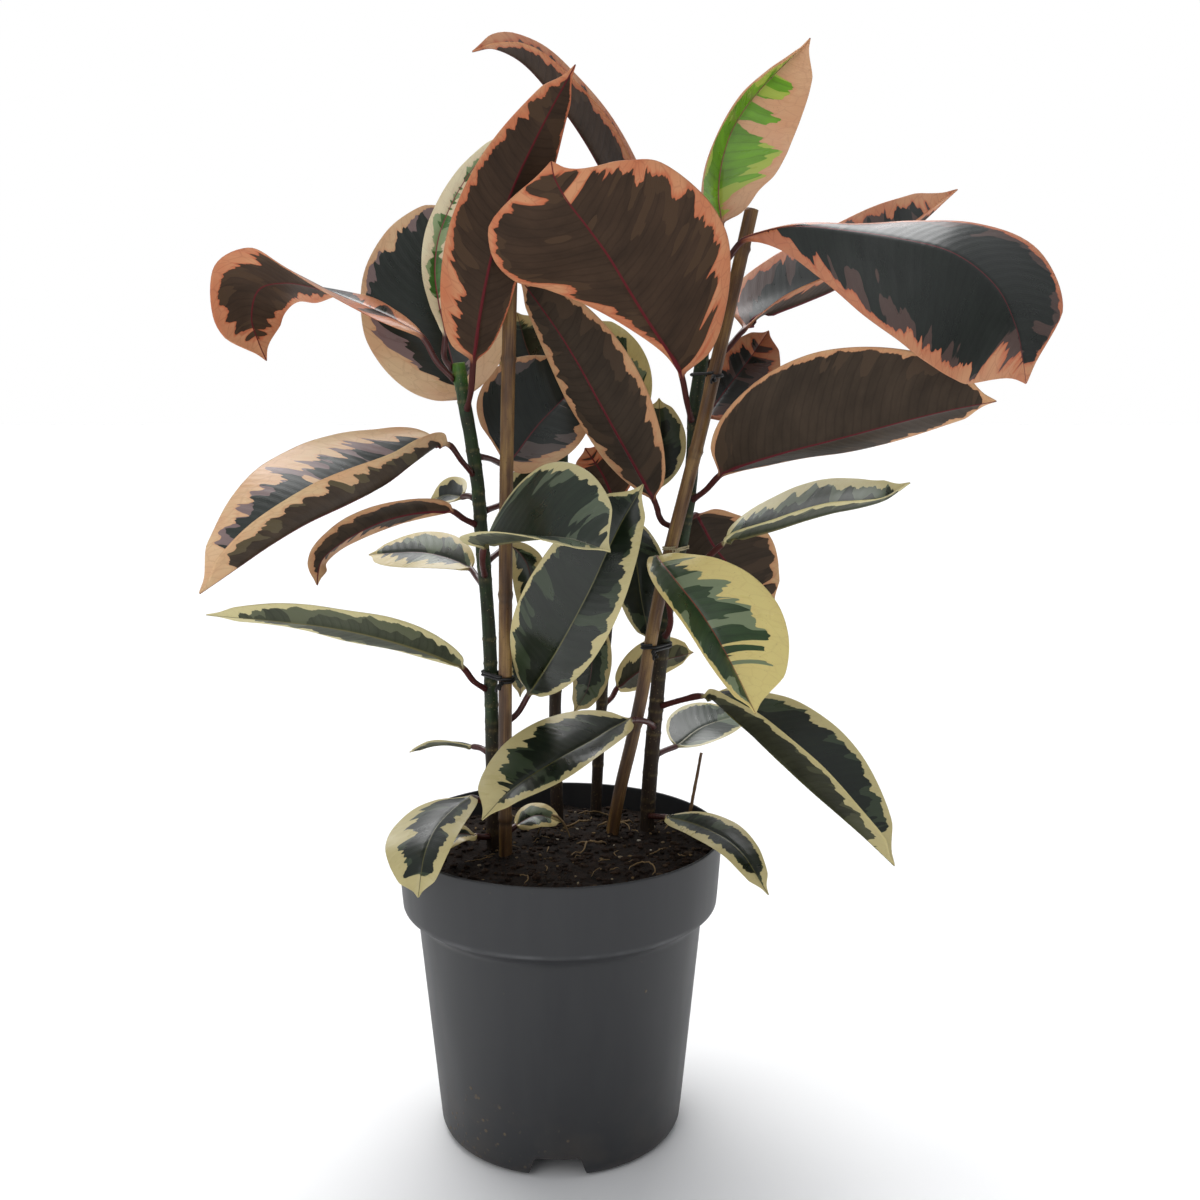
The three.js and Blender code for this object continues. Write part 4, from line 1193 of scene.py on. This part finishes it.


# %% [markdown]
# Black recycled plastic looks dark grey: satin, with faint flow marks and splashes of dried soil
# low on the wall. A lighter line along the collar's lower edge is a painted highlight. The pattern
# reads Object coordinates, which are metres here, so every size in it is a real one.

# %% Recycled polypropylene finish
def pot_finish():
    material, tree = new_finish("moulded_recycled_polypropylene")
    spot = add(tree, "TexCoord", result="Object")
    across, _, height = add(tree, "SeparateXYZ", [spot]).node.outputs

    streaks = flecks(tree, spot, (1 / 60, 1 / 60, 1 / 9), 4.0)
    flow = add(tree, "MapRange", [streaks, 0.3, 0.7])
    base = add(tree, "Mix", [flow, linear("#242528"), linear("#2d2e30")], data_type="RGBA")
    # Painted highlight along the collar's lower edge: a lighter line 1.5 mm wide, broken up by noise.
    above = add(tree, "MapRange", [height, 151.5 * mm, 152.8 * mm])
    below = add(tree, "MapRange", [height, 155.0 * mm, 153.5 * mm])
    line = add(tree, "Math", [above, below], operation="MULTIPLY")
    broken = add(tree, "TexNoise", [spot, 45.0, 3.0])
    # This noise breaks up the painted highlight.
    highlight_breaks = add(tree, "MapRange", [broken, 0.4, 0.7, 0.1, 0.5])
    line = add(tree, "Math", [line, highlight_breaks], operation="MULTIPLY")
    base = add(tree, "Mix", [line, base, linear("#6a6b6d")], data_type="RGBA")

    # Soil splashes: dots up to 2 mm wide, most of them low down and to the left.
    low = add(tree, "MapRange", [height, 75 * mm, 4 * mm])
    left = add(tree, "MapRange", [across, 55 * mm, -50 * mm])
    often = add(tree, "Math", [low, left], operation="MULTIPLY")
    clusters = add(tree, "TexNoise", [spot, 140.0, 1.0])
    often = add(tree, "Math", [often, 0.3, clusters], operation="MULTIPLY_ADD")
    dots = add(tree, "MapRange", [add(tree, "TexVoronoi", [spot, 240.0]), 0.36, 0.2])
    shown = add(tree, "MapRange", [often, 0.74, 0.84])
    splash = add(tree, "Math", [dots, shown], operation="MULTIPLY")
    crust = add(tree, "Math", [splash, 0.75], operation="MULTIPLY")
    base = add(tree, "Mix", [crust, base, linear("#6f6250")], data_type="RGBA")
    near_ground = add(tree, "MapRange", [height, 60 * mm, 0.0])
    dust = add(tree, "MapRange", [broken, 0.42, 0.75, 0.0, 0.3])
    dust = add(tree, "Math", [near_ground, dust], operation="MULTIPLY")
    base = add(tree, "Mix", [dust, base, linear("#5c5043")], data_type="RGBA")

    satin = add(tree, "MapRange", [streaks, 0.3, 0.7, 0.46, 0.56])
    matt = add(tree, "Math", [splash, 0.4, satin], operation="MULTIPLY_ADD")
    grain = add(tree, "TexNoise", [spot, 1600.0, 2.0])
    bump = add(tree, "Bump", {"Strength": 0.12, "Distance": 0.2 * mm, "Height": grain})
    raised = add(tree, "Bump", {"Strength": 0.5, "Distance": 0.4 * mm, "Height": splash,
                                "Normal": bump})
    plastic = add(tree, "BsdfPrincipled",
                  {"Base Color": base, "Roughness": matt, "IOR": 1.49, "Normal": raised})
    add(tree, "OutputMaterial", {"Surface": plastic})
    return material


pot_piece = finish_piece("moulded_pot", shell, pot_finish(), replaces=("pot",))
pot_piece.data.set_sharp_from_angle(angle=math.radians(32))
print("pot moulded")


# %% [markdown]
# ## Soil
# Potting soil is peat with bits of bark, a few grains of perlite and old root ends. Its surface is a
# disc that rises and falls by a few millimetres, with loose crumbs on it. A grid is bent into a disc
# and shaped by noise, and its edge is drawn down inside the pot. Each crumb is a ball of only twenty
# faces, knocked out of shape, since there are hundreds.

# %% Surface height
def soil_height(x, y):
    """Height of the soil in millimetres at a place in the pot."""
    reach = math.hypot(x, y)
    mound = 180.6 + 2.4 * (1 - (reach / 101) ** 2)
    # Swells 26 mm wide, lumps 9 mm wide and crumbs 3 mm wide, each with its rise.
    for layer, (width, rise) in enumerate(((26, 2.6), (9, 1.5), (3, 0.9)), 1):
        mound += rise * noise.noise(Vector((x / width, y / width, layer)))
    return mound


# %% The body of soil
soil_radius = 100.6
body = bmesh.new()
bmesh.ops.create_grid(body, x_segments=110, y_segments=110, size=1)
for v in body.verts:
    x, y = v.co.x, v.co.y
    # A square is bent into a disc: its rings stay rings, and its corners are drawn in.
    disc = Vector((x * math.sqrt(1 - y * y / 2), y * math.sqrt(1 - x * x / 2))) * soil_radius
    v.co = Vector((disc.x, disc.y, soil_height(disc.x, disc.y))) * mm
edge = [e for e in body.edges if e.is_boundary]
for radius, height in ((97.9, 160), (90.8, 146), (77.5, 17)):
    made = bmesh.ops.extrude_edge_only(body, edges=edge)["geom"]
    ring = [g for g in made if isinstance(g, bmesh.types.BMVert)]
    edge = [g for g in made if isinstance(g, bmesh.types.BMEdge) and all(v in ring for v in g.verts)]
    for v in ring:
        flat = Vector((v.co.x, v.co.y, 0)).normalized() * radius
        v.co = Vector((flat.x, flat.y, height)) * mm
bmesh.ops.holes_fill(body, edges=edge, sides=0)
bmesh.ops.recalc_face_normals(body, faces=body.faces)
print("soil body has", len(body.faces), "faces")

# %% [markdown]
# Damp peat is nearly black, and its lumps show by their shadows. One finish serves the body and the
# crumbs: each crumb carries a shade from 0.05 to 1, which a colour ramp turns into peat, bark or
# perlite, and the body has none.

# %% Peat finish
peat, tree = new_finish("damp_peat")
spot = add(tree, "TexCoord", result="Object")
crumb_value = add(tree, "Attribute", result="Fac", attribute_name="crumb")
clumps = add(tree, "TexNoise", [spot, 260.0, 6.0, 0.7])
fibres = add(tree, "TexNoise", [spot, 900.0, 3.0])
tone = add(tree, "MapRange", [clumps, 0.35, 0.7])
ground = add(tree, "Mix", [tone, linear("#0b0806"), linear("#2a1d14")], data_type="RGBA")
grains = add(tree, "ValToRGB", [crumb_value])
stops = grains.node.color_ramp.elements
stops[0].position, stops[0].color = 0.05, linear("#1c130d")
stops[1].position, stops[1].color = 1.0, linear("#cfc8b8")
stops.new(0.55).color = linear("#33241a")
stops.new(0.8).color = linear("#7d6848")
is_crumb = add(tree, "Math", [crumb_value, 0.01], operation="GREATER_THAN")
earth = add(tree, "Mix", [is_crumb, ground, grains], data_type="RGBA")
rise = add(tree, "Math", [clumps, fibres], operation="ADD")
bump = add(tree, "Bump", {"Strength": 0.9, "Distance": 1.2 * mm, "Height": rise})
damp = add(tree, "BsdfPrincipled",
           {"Base Color": earth, "Roughness": 0.95, "Specular IOR Level": 0.25, "Normal": bump})
add(tree, "OutputMaterial", {"Surface": damp})
finish_piece("peat_body", body, peat, replaces=("soil",))

# %% Loose crumbs
random.seed(11)
crumbs = bmesh.new()
crumb_shade = crumbs.verts.layers.float.new("crumb")
crumb_count = 1500
for _ in range(crumb_count):
    turn, reach = random.uniform(0, 2 * math.pi), 98 * math.sqrt(random.random())
    x, y = reach * math.cos(turn), reach * math.sin(turn)
    size = random.choice((0.5, 0.7, 0.9, 1.2, 1.6, 2.2)) * random.uniform(0.8, 1.2)
    draw = random.random()
    # Most crumbs are peat, some are bark, and a few are perlite.
    if draw < 0.93:
        shade = random.uniform(0.05, 0.6)
    else:
        shade = random.uniform(0.7, 0.85) if draw < 0.985 else 0.97
        size = min(size, 1.1)
    at = Matrix.Translation(Vector((x, y, soil_height(x, y) + size * 0.3)) * mm)
    ball = bmesh.ops.create_icosphere(crumbs, subdivisions=1, radius=size * mm, matrix=at)["verts"]
    stretch = Vector((random.uniform(0.7, 1.6), random.uniform(0.6, 1.3), random.uniform(0.5, 0.9)))
    middle = at.translation
    for v in ball:
        arm = v.co - middle
        arm = Vector([a * b for a, b in zip(arm, stretch)])
        v.co = middle + arm * random.uniform(0.8, 1.2)
        v[crumb_shade] = shade
finish_piece("loose_peat_crumbs", crumbs, peat, smooth=False)
print(crumb_count, "crumbs")

# %% [markdown]
# Dry roots and old petioles lie on the soil. Each is a thin tube along a wandering line, pressed
# down onto the surface.

# %% Root finish
root_skin, tree = new_finish("dry_root_fibre")
spot = add(tree, "Attribute", result="Vector", attribute_name="bark_map")
furrows = flecks(tree, spot, (0.5, 4, 1), 4.0)
root_tone = add(tree, "Mix", [furrows, linear("#3d2d1e"), linear("#a08458")], data_type="RGBA")
bump = add(tree, "Bump", {"Strength": 0.5, "Distance": 0.2 * mm, "Height": furrows})
fibre = add(tree, "BsdfPrincipled", {"Base Color": root_tone, "Roughness": 0.85, "Normal": bump})
add(tree, "OutputMaterial", {"Surface": fibre})


# %% Dry roots
def root_strand(x, y, heading, length, radius, curl, lift):
    """A thin strand that starts at a place on the soil and wanders off, lifting in its middle."""
    count = max(8, int(length / 1.6))
    path = []
    for i in range(count + 1):
        rise = radius + lift * math.sin(math.pi * i / count) + 0.5 * random.random()
        path.append(Vector((x, y, soil_height(x, y) + rise)) * mm)
        heading += curl / count + random.uniform(-0.22, 0.22)
        x += length / count * math.cos(heading)
        y += length / count * math.sin(heading)
    return tube(path, radius * mm, 7, thin_ends=True)


# Place (x, y), heading, length, radius, curl and lift: the thicker ones first, then small hairs.
strands = [root_strand(*strand) for strand in (
    (0, 42, 0.2, 26, 0.75, -0.4, 2.5), (24, 44, 0.3, 30, 0.8, 0.5, 2.5), (28, 47, -0.4, 20, 0.5, 0.8, 1.5),
    (34, 42, 0.9, 18, 0.45, -1.2, 2), (12, -6, 0.3, 24, 0.6, 2.2, 2), (30, 14, -1.2, 26, 0.55, -1.8, 3),
    (44, -38, 1.2, 30, 0.5, -3.0, 4), (70, 40, 0.6, 26, 0.7, 0.6, 3), (74, 52, -0.7, 22, 0.55, 0.9, 2),
    (66, 60, 0.1, 26, 0.5, -0.8, 4), (-20, -60, 0.8, 18, 0.4, 1.4, 1), (-60, -20, -0.5, 20, 0.4, 1.0, 1),
    (-30, 60, 2.4, 22, 0.45, 1.0, 1.5), (10, 75, 0.4, 28, 0.5, -1.0, 1.5), (-70, 20, 1.2, 18, 0.4, -1.0, 1),
    (56, -12, 0.4, 24, 0.45, 1.4, 2),
)]
for _ in range(24):
    turn, reach = random.uniform(0, 2 * math.pi), 88 * math.sqrt(random.random())
    x, y = reach * math.cos(turn), reach * math.sin(turn)
    heading, length = random.uniform(0, 6.3), random.uniform(6, 13)
    radius, curl = random.uniform(0.2, 0.4), random.uniform(-2, 2)
    strands.append(root_strand(x, y, heading, length, radius, curl, 0.8))
print(len(strands), "strands")
finish_piece("dry_roots", joined(strands), root_skin)

# %% A curled petiole
# It bows up from the soil beside the left stem and comes down again 22 mm further on.
arch = []
for k in range(31):
    x, y, rise = -16 + 22 * k / 30, 26 - 6 * k / 30, 15 * math.sin(math.pi * k / 30) ** 0.8
    arch.append(Vector((x, y, soil_height(x, y) + rise + 0.8)) * mm)
finish_piece("curled_petiole", tube(arch, 0.9 * mm, 10, thin_ends=True), root_skin)
print("petiole is", round(places_of(arch)[-1] / mm), "mm long")
